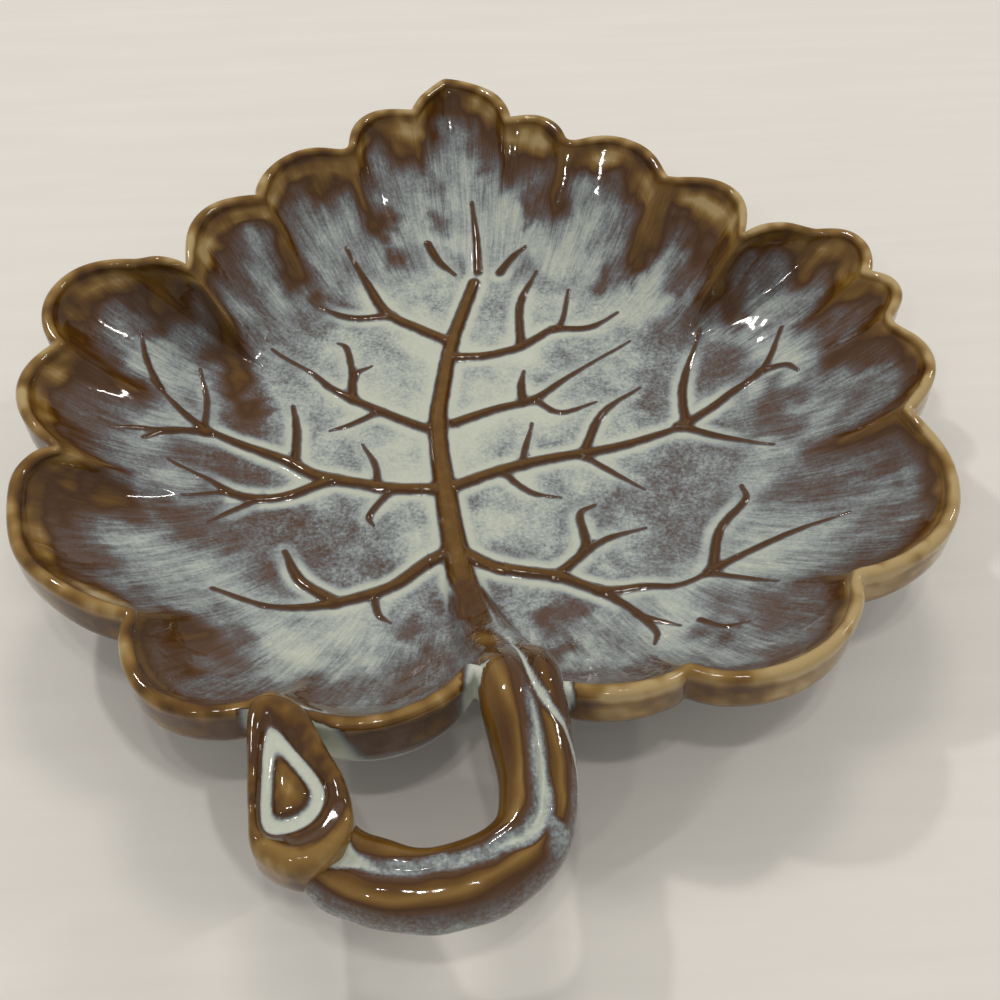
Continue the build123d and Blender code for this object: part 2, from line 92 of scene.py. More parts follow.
# Thin brown patches and thick pale pools of glaze, a few of them partly painted highlight or painted shade:
# x and y as shares, radius in mm, and how thick the glaze lies in the middle.
glaze_and_painted_light_patches = [
    (-0.01, 0.95, 7, 0.60), (-0.06, 0.80, 4, 0.42), (0.08, 0.84, 3, 0.38), (0.11, 0.90, 4, 0.27),
    (-0.14, 0.80, 4, 0.62), (0.15, 0.79, 3.5, 0.26), (0.11, 0.70, 6, 0.84), (0.19, 0.67, 3, 0.30),
    (0.17, 0.53, 4, 0.42), (0.25, 0.56, 7, 0.86), (0.32, 0.68, 4, 0.66), (0.40, 0.59, 5, 0.50),
    (0.46, 0.50, 4, 0.19), (0.40, 0.36, 7, 0.88), (0.58, 0.42, 6, 0.34), (0.55, 0.28, 6, 0.34),
    # The pale pool at (0.80, 0.28) is partly a painted highlight.
    (0.68, 0.26, 4, 0.36), (0.80, 0.28, 7, 0.66), (0.75, 0.14, 4, 0.76), (0.62, 0.15, 6, 0.38),
    (0.86, 0.10, 5, 0.24), (0.92, 0.0, 6, 0.26), (0.63, 0.31, 5, 0.13), (0.62, 0.04, 4, 0.44),
    (0.72, -0.10, 8, 0.35), (0.87, -0.12, 6, 0.38), (0.43, 0.03, 5, 0.42), (0.73, -0.32, 8, 0.34),
    (0.86, -0.34, 7, 0.33), (0.68, -0.43, 5, 0.66), (0.82, -0.50, 6, 0.40), (0.47, -0.34, 10, 0.48),
    (0.54, -0.18, 6, 0.62), (0.24, -0.20, 6, 0.84), (0.14, -0.32, 7, 0.84), (0.02, -0.30, 6, 0.92),
    (0.26, -0.46, 4, 0.82), (0.66, -0.52, 5, 0.66), (0.47, -0.60, 5, 0.44), (0.57, -0.67, 7, 0.34),
    (0.62, -0.80, 7, 0.42), (0.37, -0.70, 5, 0.74), (0.26, -0.84, 7, 0.38), (0.24, -0.60, 4, 0.72),
    # The slate patch at (-0.10, -0.52) is partly painted shade on the left flank of the stem's root.
    (0.12, -0.58, 4, 0.28), (0.13, -0.70, 5, 0.28), (-0.10, -0.52, 3, 0.40), (-0.17, -0.60, 4, 0.32),
    (-0.16, -0.77, 7, 0.32), (-0.29, -0.60, 8, 0.88), (-0.40, -0.86, 7, 0.30), (-0.28, -0.82, 6, 0.42),
    (-0.55, -0.67, 8, 0.22), (-0.65, -0.76, 6, 0.30), (-0.60, -0.57, 5, 0.72), (-0.44, -0.62, 5, 0.80),
    (-0.70, -0.46, 8, 0.70), (-0.82, -0.49, 6, 0.40), (-0.86, -0.39, 5, 0.38), (-0.78, -0.30, 6, 0.27),
    (-0.66, -0.31, 6, 0.30), (-0.42, -0.38, 8, 0.39), (-0.33, -0.32, 7, 0.46), (-0.54, -0.27, 8, 0.40),
    (-0.43, -0.28, 6, 0.40), (-0.60, -0.11, 8, 0.33), (-0.70, -0.18, 5, 0.76), (-0.22, -0.24, 5, 0.84),
    (-0.86, -0.04, 7, 0.34), (-0.88, 0.08, 6, 0.26), (-0.82, 0.24, 6, 0.60), (-0.60, 0.25, 6, 0.11),
    (-0.57, 0.17, 5.5, 0.11), (-0.56, 0.09, 5, 0.14), (-0.55, 0.02, 5, 0.28), (-0.67, 0.10, 5, 0.48),
    (-0.52, 0.31, 6, 0.46), (-0.35, 0.39, 5, 0.52), (-0.38, 0.04, 6, 0.60), (-0.57, 0.40, 5, 0.36),
    (-0.45, 0.49, 3.5, 0.17), (-0.39, 0.45, 2.5, 0.22), (-0.53, 0.51, 4, 0.62), (-0.40, 0.64, 5, 0.54),
    (-0.27, 0.60, 4, 0.62), (-0.20, 0.69, 3.5, 0.24), (-0.17, 0.58, 3, 0.32), (-0.10, 0.45, 5, 0.64),
    (0.09, 0.45, 4, 0.64), (-0.17, -0.03, 7, 0.94), (0.03, 0.10, 8, 0.90), (-0.10, -0.70, 6, 0.34),
    (-0.57, -0.35, 6, 0.36), (-0.36, -0.48, 5, 0.38), (-0.52, -0.20, 5, 0.42), (-0.40, -0.85, 7, 0.24),
    (-0.19, -0.83, 5, 0.30), (-0.06, -0.78, 5, 0.27), (-0.60, -0.71, 6, 0.27), (0.38, 0.48, 4, 0.32),
    (0.55, 0.38, 4, 0.35), (-0.06, 0.70, 3.5, 0.36), (-0.20, 0.59, 3, 0.30), (-0.34, 0.41, 5, 0.38),
    (0.19, 0.71, 3.5, 0.28), (0.46, -0.70, 5, 0.34), (-0.83, -0.46, 6, 0.34), (-0.70, -0.25, 4, 0.34),
    (0.74, -0.01, 6, 0.34), (0.66, 0.08, 5, 0.40), (0.84, 0.31, 5, 0.10), (-0.77, 0.29, 5, 0.12),
    # The pale pool at (-0.77, 0.17) is partly a painted highlight.
    (-0.77, 0.17, 5, 0.76), (-0.67, 0.14, 4, 0.74), (-0.37, 0.72, 4, 0.12), (-0.17, 0.87, 3.5, 0.12),
    (-0.01, 1.0, 4, 0.14), (0.50, 0.52, 3.5, 0.13), (-0.86, -0.30, 5, 0.12), (-0.80, -0.28, 4, 0.15),
    (-0.88, -0.38, 3.5, 0.17), (-0.38, 0.43, 3, 0.25), (-0.61, -0.66, 5, 0.17), (0.60, 0.46, 3.5, 0.18),
    (0.45, 0.47, 3, 0.17), (-0.22, 0.66, 3, 0.17), (-0.31, 0.42, 2.5, 0.28), (0.63, 0.40, 4, 0.16),
    (-0.92, 0.12, 4, 0.17), (-0.93, 0.22, 3, 0.17),
]

# The midrib's course as shares, from its end under the stem's root to its tip, and its widths in mm at
# shares of its length
midrib_course = [
    (-0.020, -0.62), (-0.036, -0.54), (-0.054, -0.46), (-0.062, -0.40), (-0.073, -0.29), (-0.081, -0.19),
    (-0.089, -0.09), (-0.090, 0.02), (-0.077, 0.12), (-0.049, 0.28), (-0.012, 0.41), (0.022, 0.51),
]
midrib_width_shares = [0, 0.16, 0.5, 1]
midrib_widths = [5.0, 6.0, 4.6, 3.0]

# The side veins' courses as shares, with their widths at root and tip in mm. Each thins once more over
# the outer part of its course.
wide_vein, main_vein, branch_vein, twig_vein, fine_vein = 3.2, 2.8, 2.2, 1.6, 1.2
tip_taper_share = 0.42
taper_start_share = 0.5
STEPS_PER_PLACE = 6

right_courses = [
    (main_vein, twig_vein, [(-0.04, 0.24), (0.04, 0.24), (0.13, 0.27), (0.20, 0.32), (0.24, 0.35),
                            (0.27, 0.46)]),
    (branch_vein, fine_vein, [(0.22, 0.33), (0.31, 0.33), (0.39, 0.37)]),
    (branch_vein, twig_vein, [(0.13, 0.28), (0.14, 0.43), (0.19, 0.53)]),
    (main_vein, fine_vein, [(-0.05, 0.01), (0.05, 0.05), (0.15, 0.08), (0.25, 0.16), (0.41, 0.27)]),
    (branch_vein, fine_vein, [(0.12, 0.07), (0.12, 0.13), (0.13, 0.18)]),
    (twig_vein, fine_vein, [(0.15, 0.075), (0.21, 0.03), (0.30, 0.06)]),
    (wide_vein, branch_vein, [(-0.055, -0.19), (0.045, -0.15), (0.17, -0.12), (0.30, -0.10),
                              (0.45, -0.055), (0.505, -0.03)]),
    (branch_vein, twig_vein, [(0.49, -0.04), (0.62, 0.04), (0.71, 0.09), (0.77, 0.19)]),
    (twig_vein, fine_vein, [(0.70, 0.085), (0.755, 0.075), (0.78, 0.04)]),
    (branch_vein, fine_vein, [(0.25, -0.11), (0.31, 0.02), (0.415, 0.105)]),
    (branch_vein, twig_vein, [(0.505, -0.035), (0.52, 0.10), (0.585, 0.26)]),
    (branch_vein, fine_vein, [(0.49, -0.035), (0.58, -0.085), (0.69, -0.15)]),
    (twig_vein, fine_vein, [(0.24, -0.11), (0.305, -0.165), (0.38, -0.23)]),
    (twig_vein, fine_vein, [(0.05, -0.148), (0.115, -0.218), (0.185, -0.24)]),
    (twig_vein, fine_vein, [(0.10, -0.138), (0.115, -0.08), (0.137, 0)]),
    (wide_vein, branch_vein, [(-0.05, -0.385), (0.027, -0.432), (0.12, -0.455), (0.165, -0.468),
                              (0.25, -0.515), (0.34, -0.517), (0.41, -0.527), (0.49, -0.498)]),
    (branch_vein, twig_vein, [(0.15, -0.465), (0.223, -0.392), (0.222, -0.295), (0.26, -0.267)]),
    (twig_vein, fine_vein, [(0.222, -0.40), (0.282, -0.364), (0.367, -0.342)]),
    (branch_vein, twig_vein, [(0.485, -0.50), (0.525, -0.377), (0.596, -0.298), (0.598, -0.25)]),
    (branch_vein, fine_vein, [(0.48, -0.50), (0.583, -0.458), (0.682, -0.434), (0.783, -0.428)]),
    (twig_vein, fine_vein, [(0.475, -0.505), (0.54, -0.547), (0.595, -0.595)]),
    (branch_vein, fine_vein, [(0.24, -0.51), (0.303, -0.585), (0.337, -0.661), (0.326, -0.708)]),
    (twig_vein, fine_vein, [(0.31, -0.60), (0.347, -0.627), (0.387, -0.654)]),
]

left_courses = [
    (wide_vein, branch_vein, [(-0.05, 0.295), (-0.126, 0.35), (-0.21, 0.415), (-0.267, 0.516),
                              (-0.311, 0.586)]),
    (branch_vein, twig_vein, [(-0.20, 0.405), (-0.307, 0.40), (-0.408, 0.435)]),
    (main_vein, twig_vein, [(-0.09, 0), (-0.117, -0.003), (-0.21, 0.05), (-0.297, 0.107),
                            (-0.354, 0.153), (-0.406, 0.213), (-0.50, 0.28)]),
    (branch_vein, fine_vein, [(-0.297, 0.107), (-0.295, 0.19), (-0.25, 0.224)]),
    (twig_vein, fine_vein, [(-0.295, 0.18), (-0.314, 0.29), (-0.338, 0.314)]),
    (twig_vein, fine_vein, [(-0.23, 0.063), (-0.30, 0.023), (-0.35, 0.006)]),
    (wide_vein, main_vein, [(-0.085, -0.198), (-0.20, -0.188), (-0.298, -0.163), (-0.389, -0.132),
                            (-0.457, -0.081), (-0.607, -0.012), (-0.648, -0.002)]),
    (branch_vein, twig_vein, [(-0.635, -0.004), (-0.718, -0.021), (-0.769, -0.066)]),
    (twig_vein, fine_vein, [(-0.71, -0.02), (-0.784, -0.042), (-0.834, -0.068)]),
    (branch_vein, fine_vein, [(-0.64, -0.003), (-0.704, 0.052), (-0.77, 0.118)]),
    (twig_vein, fine_vein, [(-0.645, -0.002), (-0.647, 0.097), (-0.668, 0.19)]),
    (twig_vein, fine_vein, [(-0.75, 0.10), (-0.784, 0.17), (-0.80, 0.24)]),
    (branch_vein, twig_vein, [(-0.43, -0.10), (-0.43, 0.01), (-0.443, 0.096)]),
    (main_vein, twig_vein, [(-0.335, -0.15), (-0.451, -0.196), (-0.55, -0.194), (-0.619, -0.156),
                            (-0.712, -0.118)]),
    (twig_vein, fine_vein, [(-0.53, -0.195), (-0.588, -0.188), (-0.673, -0.221)]),
    (twig_vein, fine_vein, [(-0.50, -0.195), (-0.568, -0.248), (-0.611, -0.288)]),
    (twig_vein, fine_vein, [(-0.235, -0.182), (-0.242, -0.111), (-0.273, -0.042)]),
    (twig_vein, fine_vein, [(-0.20, -0.188), (-0.254, -0.262), (-0.245, -0.295)]),
    (wide_vein, branch_vein, [(-0.06, -0.375), (-0.123, -0.405), (-0.203, -0.469), (-0.292, -0.504),
                              (-0.377, -0.528), (-0.468, -0.533), (-0.577, -0.498)]),
    (main_vein, branch_vein, [(-0.325, -0.512), (-0.403, -0.447), (-0.44, -0.362)]),
    (twig_vein, fine_vein, [(-0.245, -0.485), (-0.234, -0.548), (-0.207, -0.575)]),
]

tip_courses = [
    (branch_vein, twig_vein, [(0.035, 0.547), (0.036, 0.647), (0.030, 0.757)]),
    (branch_vein, twig_vein, [(-0.096, 0.636), (-0.066, 0.58), (-0.027, 0.541)]),
    (branch_vein, twig_vein, [(0.093, 0.539), (0.128, 0.577), (0.165, 0.60)]),
    (twig_vein, fine_vein, [(0.43, -0.648), (0.47, -0.684), (0.518, -0.687)]),
]

# The stem's stations: x and y as shares, its centre's height in mm, its width and depth in mm
stem_stations = [
    (-0.060, -0.41, 7.4, 5.2, 3.2), (-0.046, -0.50, 8.2, 7.6, 4.6), (-0.022, -0.60, 9.8, 10.2, 6.2),
    (0.004, -0.70, 15.9, 12.3, 8.0), (0.024, -0.79, 24.0, 14.2, 9.8), (0.040, -0.885, 32.0, 15.9, 12.2),
    (0.052, -0.985, 30.6, 14.8, 12.5), (0.056, -1.085, 29.2, 13.7, 12.5), (0.030, -1.170, 28.4, 13.7, 12.5),
    (-0.058, -1.228, 28.0, 13.7, 12.5), (-0.165, -1.240, 28.4, 13.9, 12.5),
    (-0.262, -1.208, 28.9, 14.3, 12.5), (-0.325, -1.150, 29.0, 13.4, 11.8),
]


def ease(value, low, high):
    """Smooth step from 0 at low to 1 at high."""
    t = np.clip((value - low) / (high - low), 0, 1)
    return t * t * (3 - 2 * t)


def soft_noise(points, size, seed):
    """Repeatable smooth noise, about -1 to 1, at points given in millimetres."""
    rng = np.random.default_rng(seed)
    total = np.zeros(len(points))
    waves = 16
    for _ in range(waves):
        way = rng.normal(size=3)
        way *= rng.uniform(0.6, 1.5) / (np.linalg.norm(way) * size)
        total += np.sin(points @ way * 2 * pi + rng.uniform(0, 2 * pi))
    return total / np.sqrt(waves / 2) / 1.6


def smooth_line(points, steps):
    """A smooth curve through points, with a number of steps from one to the next."""
    points = np.asarray(points, float)
    padded = np.vstack([2 * points[0] - points[1], points, 2 * points[-1] - points[-2]])
    rows = []
    for i in range(1, len(padded) - 2):
        before, start, stop, after = padded[i - 1:i + 3]
        for t in np.arange(steps) / steps:
            rows.append(0.5 * (2 * start + (stop - before) * t
                               + (2 * before - 5 * start + 4 * stop - after) * t ** 2
                               + (3 * start - before - 3 * stop + after) * t ** 3))
    rows.append(points[-1])
    return np.array(rows)


# The leaf's surface

def lobe_blend(reach):
    """How far the floor's oval has turned into lobes at a reach, from 0 to 1."""
    return float(ease(reach, lobes_begin, lobes_full))


def on_floor(plan):
    """Plan points as places at height 0."""
    return np.column_stack([plan, np.zeros(len(plan))])


def vertex_places(shape):
    """Where the vertices of a bmesh lie."""
    return np.array([vertex.co[:] for vertex in shape.verts])


def vertex_plan(shape):
    """Where the vertices of a bmesh lie, seen from above, in mm from the leaf's centre."""
    return (vertex_places(shape)[:, :2] - leaf_centre[:2]) / MM


def ring_points(reach):
    """Points round one ring of the leaf at a reach, an arc for each lobe, flattened out on the floor."""
    blend = lobe_blend(reach)
    notches = lobe_rows[:, :2]
    angle = np.arctan2(notches[:, 1], notches[:, 0])
    oval = oval_mean_share + oval_stretch_share * np.cos(2 * angle) - oval_shift_share * np.sin(angle)
    notch = (1 - blend) * oval[:, None] * np.stack([np.cos(angle), np.sin(angle)], 1) + blend * notches
    chord = np.roll(notch, -1, 0) - notch
    length = np.linalg.norm(chord, axis=1)
    along = chord / length[:, None]
    outwards = np.stack([along[:, 1], -along[:, 0]], 1)
    swell = (1 - blend) * length ** 2 / (8 * oval_mean_share) + blend * lobe_rows[:, 2]
    radius = (length ** 2 / 4 + swell ** 2) / (2 * swell)
    half_turn = np.arcsin(np.clip(length / 2 / radius, 0, 1))
    half_turn = np.where(swell > radius, pi - half_turn, half_turn)
    middle = notch + chord / 2 + outwards * (swell - radius)[:, None]
    steps = np.arange(COLUMNS_PER_LOBE) / COLUMNS_PER_LOBE
    turn = half_turn[:, None] * (2 * steps - 1)
    spokes = np.cos(turn)[..., None] * outwards[:, None] + np.sin(turn)[..., None] * along[:, None]
    points = middle[:, None] + radius[:, None, None] * spokes
    return points.reshape(-1, 2) * reach * half_width


def smooth_round(values, spread):
    """Blurs values round a closed ring by a spread given in columns."""
    waves = np.fft.fftfreq(len(values))
    fade = np.exp(-2 * (pi * waves * spread) ** 2)
    if values.ndim == 2:
        fade = fade[:, None]
    return np.real(np.fft.ifft(np.fft.fft(values, axis=0) * fade, axis=0))


def ring_way_out(points):
    """Unit directions pointing outwards from a closed ring of plan points."""
    run = np.roll(points, -1, 0) - np.roll(points, 1, 0)
    out = np.stack([run[:, 1], -run[:, 0]], 1)
    return out / np.linalg.norm(out, axis=1)[:, None]


def deep_notches(rim, spacing):
    """How much of each column lies at a notch so deep that the lip would fold over itself there."""
    soft_turn, sharp_turn = radians(75), radians(125)
    spread = 8.0 / spacing
    full_strength = 2.6
    run = np.roll(rim, -1, 0) - rim
    heading = np.arctan2(run[:, 1], run[:, 0])
    turn = (np.roll(heading, -2) - np.roll(heading, 2) + pi) % (2 * pi) - pi
    marks = np.zeros(len(rim))
    marks[::COLUMNS_PER_LOBE] = ease(-turn[::COLUMNS_PER_LOBE], soft_turn, sharp_turn)
    return np.clip(smooth_round(marks, spread) * spread * full_strength, 0, 1)


def inside_height(reach):
    """Height in mm of the leaf's inner surface at a reach."""
    return floor_height + wall_height * max((reach - flat_share) / (1 - flat_share), 0) ** wall_curve


def outside_height(reach):
    """Height in mm of the leaf's outer surface at a reach, one wall's thickness away."""
    share = max((reach - flat_share) / (1 - flat_share), 0)
    slope = wall_height * wall_curve * share ** (wall_curve - 1) / (half_width * (1 - flat_share))
    return inside_height(reach) - wall_thickness * (1 + slope * slope) ** 0.5


# The leaf's rings as reaches, the lip's as degrees round it, and the band under the lip as drops in mm.
# The lip counts as inside past lip_inside_turn, and the outer wall bends up to the band at bend_reach.
floor_reaches = np.linspace(0.0, 0.48, 28)
wall_reaches = np.linspace(0.49, 0.96, 56)
into_lip_reach, under_crest_reach = 0.975, 0.989
lip_turns = np.linspace(172, -8, 13)
lip_inside_turn = 60
band_drops = (3.2, 5.2, 7.2, 8.7)
bend_reach = 0.89
over_bend_reaches = (0.97, 0.94, 0.915)
outside_reaches = np.linspace(bend_reach, underside_share + 0.01, 14)
underside_reaches = (underside_share, 0.53, 0.4, 0.2, 0.0)


def leaf_profile():
    """Reach, height, outset and side (1 inside, 0 outside) of every ring from floor to underside."""
    rows = [(reach, inside_height(reach), 0.0, 1.0) for reach in (*floor_reaches, *wall_reaches)]
    rows.append((into_lip_reach, inside_height(into_lip_reach), -0.1 * half_lip, 1.0))
    rows.append((under_crest_reach, rim_height - 1.4 * half_lip, -0.4 * half_lip, 1.0))
    for turn in lip_turns:
        rows.append((1.0, rim_height - half_lip + half_lip * sin(radians(turn)),
                     half_lip * cos(radians(turn)), float(turn > lip_inside_turn)))
    for drop in band_drops:
        rows.append((1.0, rim_height - drop, half_lip, 0.0))
    band_height = rim_height - lip_band_height
    rows.append((0.999, band_height - 0.2, half_lip * 0.85, 0.0))
    rows.append((0.990, band_height - 1.3, half_lip * 0.5, 0.0))
    upright = 1.0 + half_lip / half_width
    bend_height = outside_height(bend_reach)
    for reach in over_bend_reaches:
        share = (reach - bend_reach) / (upright - bend_reach)
        rows.append((reach, bend_height + (band_height - bend_height) * share, 0.0, 0.0))
    rows.extend((reach, outside_height(reach), 0.0, 0.0) for reach in outside_reaches)
    rows.extend((reach, foot_height, 0.0, 0.0) for reach in underside_reaches)
    return rows


# How thick the glaze lies: up the inside, down from the lip's crest, and down the outside
inside_glaze_reaches = [0, 0.5, 0.60, 0.70, 0.80, 0.86, 0.91, 0.94, 0.962, 0.975, 0.99]
inside_glaze = [0.74, 0.74, 0.77, 0.71, 0.63, 0.56, 0.47, 0.37, 0.25, 0.18, 0.13]
crest_glaze, inner_lip_glaze = 0.035, 0.115
below_crest_mm = [0, 1.6, 3.4, 6.0, 8.0]
below_crest_glaze = [0, 0.12, 0.08, 0.06, 0.10]
outside_glaze_reaches = [0, 0.54, 0.58, 0.70, 0.85, 0.94, 0.995]
outside_glaze = [0.50, 0.55, 0.60, 0.54, 0.48, 0.44, 0.36]


def wall_glaze(reach, side, outset, height):
    """How thick the glaze lies on a ring, from the lip's bare gold to the floor's pale pools."""
    if reach >= 1:
        below_crest = max(rim_height - half_lip - height, 0)
        inwards = max(-outset / half_lip, 0)
        under_lip = np.interp(below_crest, below_crest_mm, below_crest_glaze)
        return crest_glaze + inner_lip_glaze * inwards ** 2 + under_lip
    if side:
        return np.interp(reach, inside_glaze_reaches, inside_glaze)
    return np.interp(reach, outside_glaze_reaches, outside_glaze)


def tongue_glaze(reach, ring):
    """How thick the glaze lies because of the golden ridges that run down from the notches."""
    thinnest, thicker_per_mm, edge_mm, fray_mm = 0.13, 0.055, 1.2, 1.3
    step = np.linalg.norm(np.roll(ring, -1, 0) - ring, axis=1)
    place = np.cumsum(step) - step
    notch_place = place[::COLUMNS_PER_LOBE]
    lowest = np.full(len(ring), 1.0)
    fray = soft_noise(np.column_stack([ring, np.full(len(ring), reach * 30)]), size=7, seed=29)
    for start, (ends, wide) in zip(notch_place, lobe_rows[:, 5:7]):
        if not wide:
            continue
        away = np.abs(place - start)
        away = np.minimum(away, step.sum() - away)
        if reach < ends:
            gap = np.hypot(away, (ends - reach) * half_width)
        else:
            share = min((reach - ends) / (1 - ends), 1.0)
            gap = away - wide * share ** 0.6
        gap = gap + fray_mm * fray
        lowest = np.minimum(lowest, thinnest + thicker_per_mm * np.maximum(gap + edge_mm, 0))
    return lowest


def lip_tone(place):
    """How much browner the lip is at the tip, the loop and the left; below 0 where it is paler."""
    browner_tip, browner_loop, browner_left, paler_right = 0.035, 0.06, 0.045, 0.045
    x, y = place[:, 0] / half_width, place[:, 1] / half_width
    loop_away = np.hypot(x + 0.22, y + 0.95)
    return (browner_tip * ease(y, 0.0, 0.7) + browner_loop * (1 - ease(loop_away, 0.15, 0.5))
            + browner_left * ease(-x, 0.2, 0.6) * (1 - ease(y, 0.0, 0.4))
            - paler_right * ease(x, 0.2, 0.7) * (1 - ease(y, -0.2, 0.3)))


def ring_glaze(profile_row, ring, plan, place, by_loop):
    """How thick the glaze lies round one ring of the leaf."""
    reach, height, outset, side = profile_row
    lip_begins, golden_band, band_shadow = 0.98, 0.19, 0.6
    glaze = np.full(len(ring), wall_glaze(reach, side, outset, height))
    if reach > 0.93:
        glaze = glaze + 0.05 * soft_noise(place, size=18, seed=31)
        glaze = glaze + 0.045 * soft_noise(place, size=5, seed=32)
    if side:
        upper_lobes = ease(plan[:, 1] / half_width, -0.10, 0.35)
        left_lobes = 0.8 * ease(-plan[:, 0] / half_width, 0.55, 0.8)
        golden = golden_band + 0.09 * soft_noise(place, size=14, seed=33)
        golden = golden * np.maximum(upper_lobes, left_lobes)
        glaze = glaze - golden * ease(reach, 0.83, 0.925) * (1 - ease(reach, 0.955, 0.985))
    elif reach > lip_begins:
        glaze = glaze + by_loop * (0.05 + band_shadow * ease(rim_height - height, 8.0, 9.8))
    if reach > lip_begins:
        glaze = glaze + lip_tone(place)
    if side:
        glaze = np.minimum(glaze, tongue_glaze(reach, ring))
    return glaze


def rim_dips():
    """How much each column of the rim dips for a notch, and how much it shares in the loop's deeper band."""
    lobe_part = np.tile(np.arange(COLUMNS_PER_LOBE) / COLUMNS_PER_LOBE, LOBES)
    dips = np.repeat(lobe_rows[:, 3], COLUMNS_PER_LOBE)
    next_dips = np.repeat(np.roll(lobe_rows[:, 3], -1), COLUMNS_PER_LOBE)
    notch_near = np.abs(np.cos(pi * lobe_part)) ** 3 * np.where(lobe_part < 0.5, dips, next_dips)
    by_loop = np.repeat(lobe_rows[:, 4], COLUMNS_PER_LOBE) * (1 - (2 * lobe_part - 1) ** 2)
    return smooth_round(notch_near, 1.2), by_loop


def rim_directions(rim, spacing):
    """Which way is outwards at each column of the rim, softened by deep notches, and how deep they are."""
    deep = deep_notches(rim, spacing)
    close_out = ring_way_out(smooth_round(rim, 2.6 / spacing))
    soft_out = ring_way_out(smooth_round(rim, 6.5 / spacing))
    rim_out = close_out + (soft_out - close_out) * deep[:, None]
    return rim_out / np.linalg.norm(rim_out, axis=1)[:, None], deep


# How far the rings are blurred in mm: at the lip, per reach inside and outside, at most, and at notches.
# Then the lip's thinning at deep notches, as a share, and the unevenness of the hand-made wall in mm.
lip_blur, inside_blur, outside_blur, most_blur, notch_blur = 0.7, 9.0, 6.0, 4.5, 5.5
thinner_lip_share = 0.25
hand_wobble = 0.35


def leaf_rows():
    """Every ring's points in millimetres, and the reach, glaze, side and flow direction at each."""
    columns = LOBES * COLUMNS_PER_LOBE
    rim = ring_points(1.0)
    step = np.linalg.norm(np.roll(rim, -1, 0) - rim, axis=1)
    spacing = step.mean()
    dip, by_loop = rim_dips()
    rim_out, deep = rim_directions(rim, spacing)
    turn = 2 * pi * (np.cumsum(step) - step) / step.sum()
    turn_radius = step.sum() / (2 * pi)
    places, facts = [], []
    for profile_row in leaf_profile():
        reach, height, outset, side = profile_row
        ring = ring_points(reach)
        blur = lip_blur + (inside_blur if side else outside_blur) * (1 - reach)
        plan = smooth_round(ring, min(blur, most_blur) / spacing)
        plan = plan + (smooth_round(ring, notch_blur / spacing) - plan) * deep[:, None]
        plan = plan + rim_out * (outset * (1 - thinner_lip_share * deep))[:, None]
        blend = lobe_blend(reach)
        level = height - notch_dip * blend * dip
        if not side:
            share = ease(rim_height - height, half_lip, lip_band_height) * ease(reach, 0.88, 0.98)
            level = level - loop_band_drop * share * by_loop
        place = np.column_stack([plan, level])
        wobble = blend * hand_wobble
        place[:, 2] += wobble * soft_noise(on_floor(plan), size=46, seed=3)
        place[:, :2] += rim_out * (wobble * soft_noise(place, size=30, seed=5))[:, None]
        glaze = ring_glaze(profile_row, ring, plan, place, by_loop)
        flow = np.column_stack([np.cos(turn) * turn_radius, np.sin(turn) * turn_radius,
                                np.full(columns, reach * half_width)])
        places.append(place)
        facts.append(np.column_stack([np.full(columns, reach), glaze, np.full(columns, side), flow]))
    return np.array(places), np.array(facts)


def grid_shape(rows, facts):
    """A closed bmesh of quads, a grid moved to rows of points and sewn shut, and each vertex's facts."""
    touching = 0.005 * MM
    height, width = rows.shape[:2]
    grid = bmesh.new()
    bmesh.ops.create_grid(grid, x_segments=width, y_segments=height - 1, size=0.5)
    flat = vertex_places(grid)
    column = np.rint((flat[:, 0] + 0.5) * width).astype(int) % width
    row = np.rint((flat[:, 1] + 0.5) * (height - 1)).astype(int)
    tag = grid.verts.layers.int.new("place_in_rows")
    places = rows[row, column] * MM + leaf_centre
    for i, vertex in enumerate(grid.verts):
        vertex.co = places[i]
        vertex[tag] = int(row[i] * width + column[i])
    bmesh.ops.remove_doubles(grid, verts=grid.verts, dist=touching)
    bmesh.ops.recalc_face_normals(grid, faces=grid.faces)
    kept = np.array([vertex[tag] for vertex in grid.verts])
    return grid, facts.reshape(-1, facts.shape[-1])[kept]


def finish_mesh(name, shape, facts):
    """Turns a bmesh into an object with smooth faces, and keeps the facts of each vertex on it."""
    mesh = bpy.data.meshes.new(name)
    shape.to_mesh(mesh)
    shape.free()
    mesh.polygons.foreach_set("use_smooth", [True] * len(mesh.polygons))
    for fact, values in facts.items():
        if values.ndim == 1:
            layer = mesh.attributes.new(fact, "FLOAT", "POINT")
            layer.data.foreach_set("value", values.astype(np.float32))
        else:
            layer = mesh.attributes.new(fact, "FLOAT_VECTOR", "POINT")
            layer.data.foreach_set("vector", values.astype(np.float32).ravel())
    piece = bpy.data.objects.new(name, mesh)
    bpy.context.collection.objects.link(piece)
    return piece


# The veins' fields

def vein_lines(courses):
    """Each vein as a smooth line of plan points in mm with its width at each."""
    lines = []
    for root_width, tip_width, course in courses:
        line = smooth_line(course, STEPS_PER_PLACE) * half_width
        along = np.linspace(0, 1, len(line))
        widths = root_width + (tip_width - root_width) * along
        widths = widths * (1 - tip_taper_share * ease(along, taper_start_share, 1.0))
        lines.append((line, widths))
    return lines


def nearest_on_line(places, line, widths):
    """Distance in mm from plan points to a line, and the line's width there."""
    best = np.full(len(places), 1e9)
    width = np.full(len(places), widths[0])
    for start, stop, w0, w1 in zip(line[:-1], line[1:], widths[:-1], widths[1:]):
        run = stop - start
        t = np.clip((places - start) @ run / (run @ run), 0, 1)
        away = np.linalg.norm(places - start - t[:, None] * run, axis=1)
        closer = away < best
        best = np.where(closer, away, best)
        width = np.where(closer, w0 + (w1 - w0) * t, width)
    return best, width


# The veins' relief: how far in mm the branches web together, its height as a share of the width, the
# gaps in mm over which it fades out, and how sharply two veins' relief joins. Past far_gap there is none.
webbing = 0.45
relief_share = 0.42
relief_fades = (2.0, 4.6)
joining = 5
far_gap = 16.0


